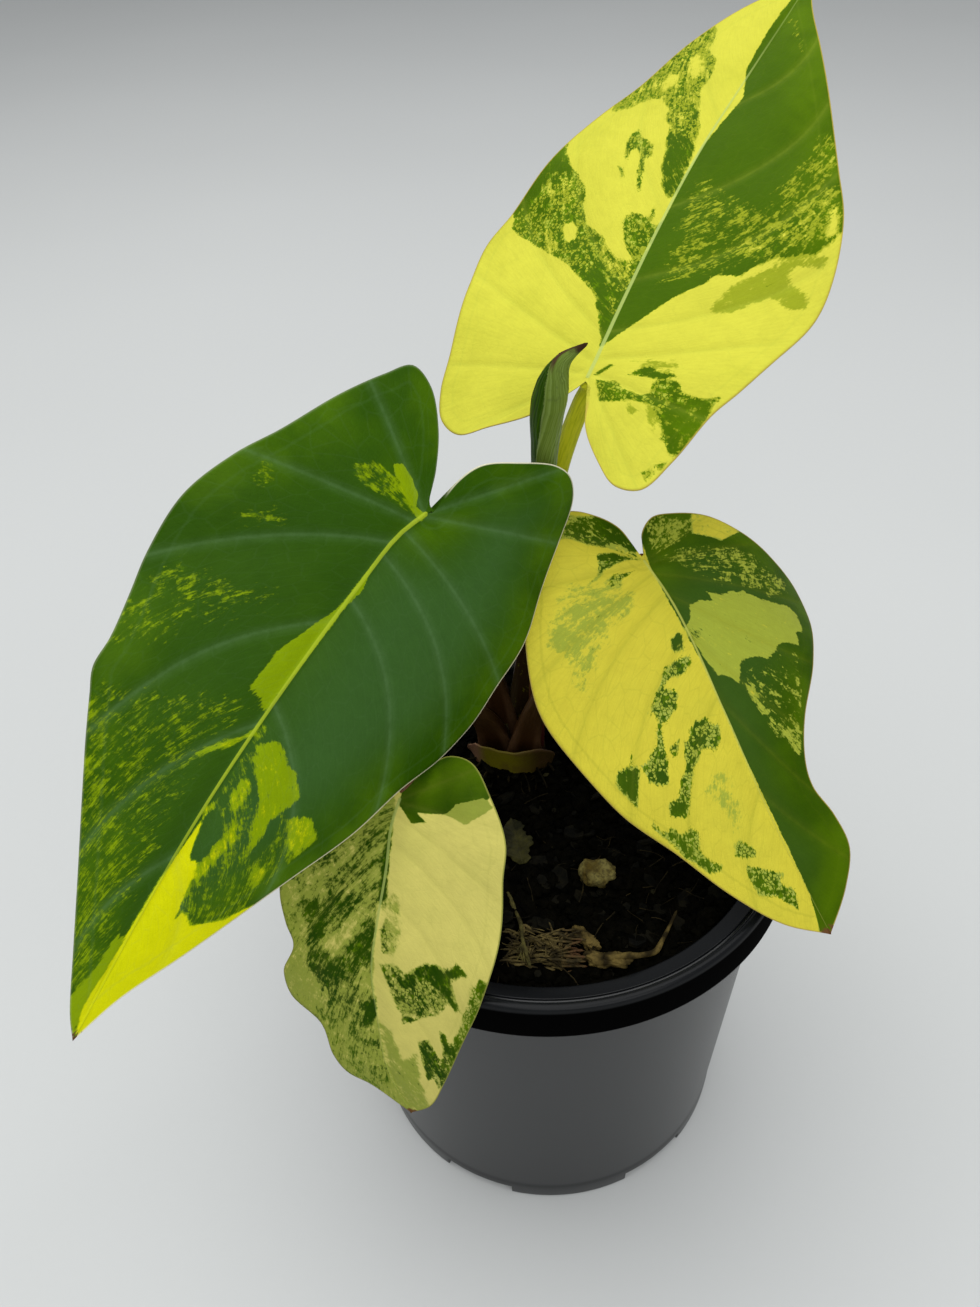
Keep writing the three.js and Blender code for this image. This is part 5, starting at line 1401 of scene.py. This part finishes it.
# Rolled leaf
# The next leaf, still wound round itself into a spindle on its own stalk. Its outer edge lies over
# the roll as a thin flap, and the tip has begun to dry.

SPINDLE = [
    (-1.6, 22.2, 84), (-1.3, 22.2, 96), (-0.5, 22, 120), (0.1, 21.6, 142), (0.7, 18.8, 160),
    (1, 14.5, 171), (1.8, 10.4, 182), (4.2, 7.4, 190.4), (8.2, 6.0, 194.0),
]
SPINDLE_RADII = (
    [0, 0.35, 0.6, 0.735, 0.78, 0.82, 0.871, 0.9, 0.926, 0.938, 0.951, 0.967, 0.98, 0.99, 1],
    [1.9, 1.9, 2.1, 2.5, 2.65, 2.95, 3.15, 2.85, 2.2, 1.8, 1.45, 1.0, 0.65, 0.4, 0.2],
)
ROLL_BEGINS = 0.42
FLAP_TURNS = (
    [0, 0.735, 0.775, 0.8, 0.83, 0.871, 0.897, 0.926, 0.94, 0.96, 1],
    [-0.75, -0.7, -0.6, -0.48, -0.36, -0.33, -0.48, -0.85, -1.4, -2.0, -2.3],
)
FLAP_STEP, FLAP_BLUR = 0.17, 0.02
SPINDLE_RIBS, SPINDLE_RIB_HEIGHT = 20, 0.04
SPINDLE_STEPS = 260
SPINDLE_SIDES = 96


def spindle_mesh():
    """A spindle whose radius steps in at the flap's edge and shrinks a little all the way round."""
    path = smooth_curve(SPINDLE, SPINDLE_STEPS)
    share = np.linspace(0, 1, SPINDLE_STEPS)[:, None]
    turn = all_round(SPINDLE_SIDES)[None]
    rolled = smooth_step((share - ROLL_BEGINS) / 0.2)
    round_flap = np.mod(turn - np.interp(share, *FLAP_TURNS), 2 * math.pi) / (2 * math.pi)
    step = FLAP_STEP * (1 - round_flap) * smooth_step(round_flap / FLAP_BLUR)
    section = np.interp(share, *SPINDLE_RADII)
    section = section * (1 - FLAP_STEP / 2 + step * rolled + FLAP_STEP / 2 * (1 - rolled))
    section = section + SPINDLE_RIB_HEIGHT * rolled * np.cos(SPINDLE_RIBS * turn + 30 * share)
    section[-1] *= 0.4
    mesh = mesh_of("spindle", *swept(path, section))
    length = np.linalg.norm(np.diff(path, axis=0), axis=1).sum()
    mark(mesh, "upward", np.append(np.repeat(share.ravel() * length, SPINDLE_SIDES), [0, length]))
    mark(mesh, "around", np.append(round_flap.ravel(), [0.5, 0.5]))
    return mesh, length


def spindle_material(length):
    """Pale outside, dark green inside past the flap's edge, reddish at the foot and dry at the tip."""
    material, place = new_material("rolled_leaf")
    upward = attribute(place.tree, "upward")
    around = attribute(place.tree, "around")
    flecks = texture(place, 700)
    ribs = {"W": around * 14 - upward * 0.05, "Scale": 2.2, "Detail": 2.0}
    ribs = put(place.tree, "ShaderNodeTexNoise", ribs, noise_dimensions="1D")
    rib = ramp(ribs, 0.4, 0.62)
    pale = mix(rib, colour(90, 110, 38), colour(112, 132, 62))
    dark = mix(rib, colour(32, 58, 0), colour(48, 78, 2))
    base = mix(ramp(around, 0.7, 0.74), pale, dark)
    base = mix(ramp(around, 0, 0.012, 0.6, 0), base, colour(126, 138, 84))
    brim = ramp(around, 0.09, 0.14, 1, 0) * ramp(upward, length * 0.93, length * 0.95)
    base = mix(brim, base, colour(72, 54, 36))
    stalk = mix(ramp(upward, 10, 50), colour(70, 30, 26), colour(112, 92, 44))
    base = mix(ramp(upward, length * 0.36, length * 0.55, 1, 0), base, stalk)
    base = mix(ramp(flecks, 0.56, 0.7, 0, 0.35), base, colour(70, 84, 40))
    base = mix(ramp(flecks * 4 + upward, length - 1, length + 0.6), base, colour(58, 42, 28))
    rough = ramp(flecks, 0.3, 0.7, 0.36, 0.5)
    return finished(material, base, rough, 0.04, flecks * 0.3 + ribs, 0.00015, 0.4)


mesh, spindle_length = spindle_mesh()
add_piece("rolled_leaf", mesh, spindle_material(spindle_length), "rolled_leaf")


# Floor, light and camera
# A pale matt floor under one large soft light, seen from just above the plant, as it was pictured.

FLOOR_HALF = 3.0
FOCAL_PIXELS = 1100
PHOTO_HEIGHT = 1307
CAMERA_PLACE = Vector((0, -165.71, 268.84)) * MM
CAMERA_YAW, CAMERA_DIP, CAMERA_ROLL = (math.radians(a) for a in (-3.45, 39.15, -2.9))
SENSOR = 36
PLANT_MIDDLE = Vector((0, 0, 0.12))
ROOM_TINT, ROOM_STRENGTH = (0.96, 0.98, 1.0, 1), 0.5


def floor_material():
    material, place = new_material("pale_floor")
    grain = texture(place, 400)
    base = mix(texture(place, 3, 2, 0.5), colour(186, 188, 187), colour(192, 194, 193))
    rough = ramp(grain, 0.3, 0.7, 0.75, 0.85)
    return finished(material, base, rough, 0.5, grain, 0.0001, 0.2)


corners = [(x * FLOOR_HALF, y * FLOOR_HALF, 0) for x, y in ((-1, -1), (1, -1), (1, 1), (-1, 1))]
floor_mesh = bpy.data.meshes.new("floor")
floor_mesh.from_pydata(corners, [], [(0, 1, 2, 3)])
floor_mesh.materials.append(floor_material())
floor = add_object("floor", floor_mesh)

# Two square lights that point at the middle of the plant: name, place, width and power.
for name, place, size, power in (
    ("window", (-0.15, 0.15, 1.2), 1.5, 15),
    ("fill", (0.3, -1.0, 0.9), 1.2, 8),
):
    data = bpy.data.lights.new(name, "AREA")
    data.size = size
    data.energy = power
    light = add_object(name, data)
    light.location = place
    light.rotation_euler = (PLANT_MIDDLE - Vector(place)).to_track_quat("-Z", "Y").to_euler()

world = bpy.data.worlds.new("room")
world.use_nodes = True
world.node_tree.nodes["Background"].inputs["Color"].default_value = ROOM_TINT
world.node_tree.nodes["Background"].inputs["Strength"].default_value = ROOM_STRENGTH
bpy.context.scene.world = world
bpy.context.scene.view_settings.view_transform = "Standard"

ahead = Vector((
    math.sin(CAMERA_YAW) * math.cos(CAMERA_DIP),
    math.cos(CAMERA_YAW) * math.cos(CAMERA_DIP),
    -math.sin(CAMERA_DIP),
))
level = ahead.cross(Vector((0, 0, 1))).normalized()
upright = level.cross(ahead)
right = math.cos(CAMERA_ROLL) * level + math.sin(CAMERA_ROLL) * upright
upward = math.cos(CAMERA_ROLL) * upright - math.sin(CAMERA_ROLL) * level
lens = bpy.data.cameras.new("camera")
lens.sensor_width = SENSOR
lens.lens = FOCAL_PIXELS * SENSOR / PHOTO_HEIGHT
lens.clip_start = 0.001
camera = add_object("camera", lens)
camera.matrix_world = Matrix.Translation(CAMERA_PLACE) @ Matrix((right, upward, -ahead)).transposed().to_4x4()
bpy.context.scene.camera = camera
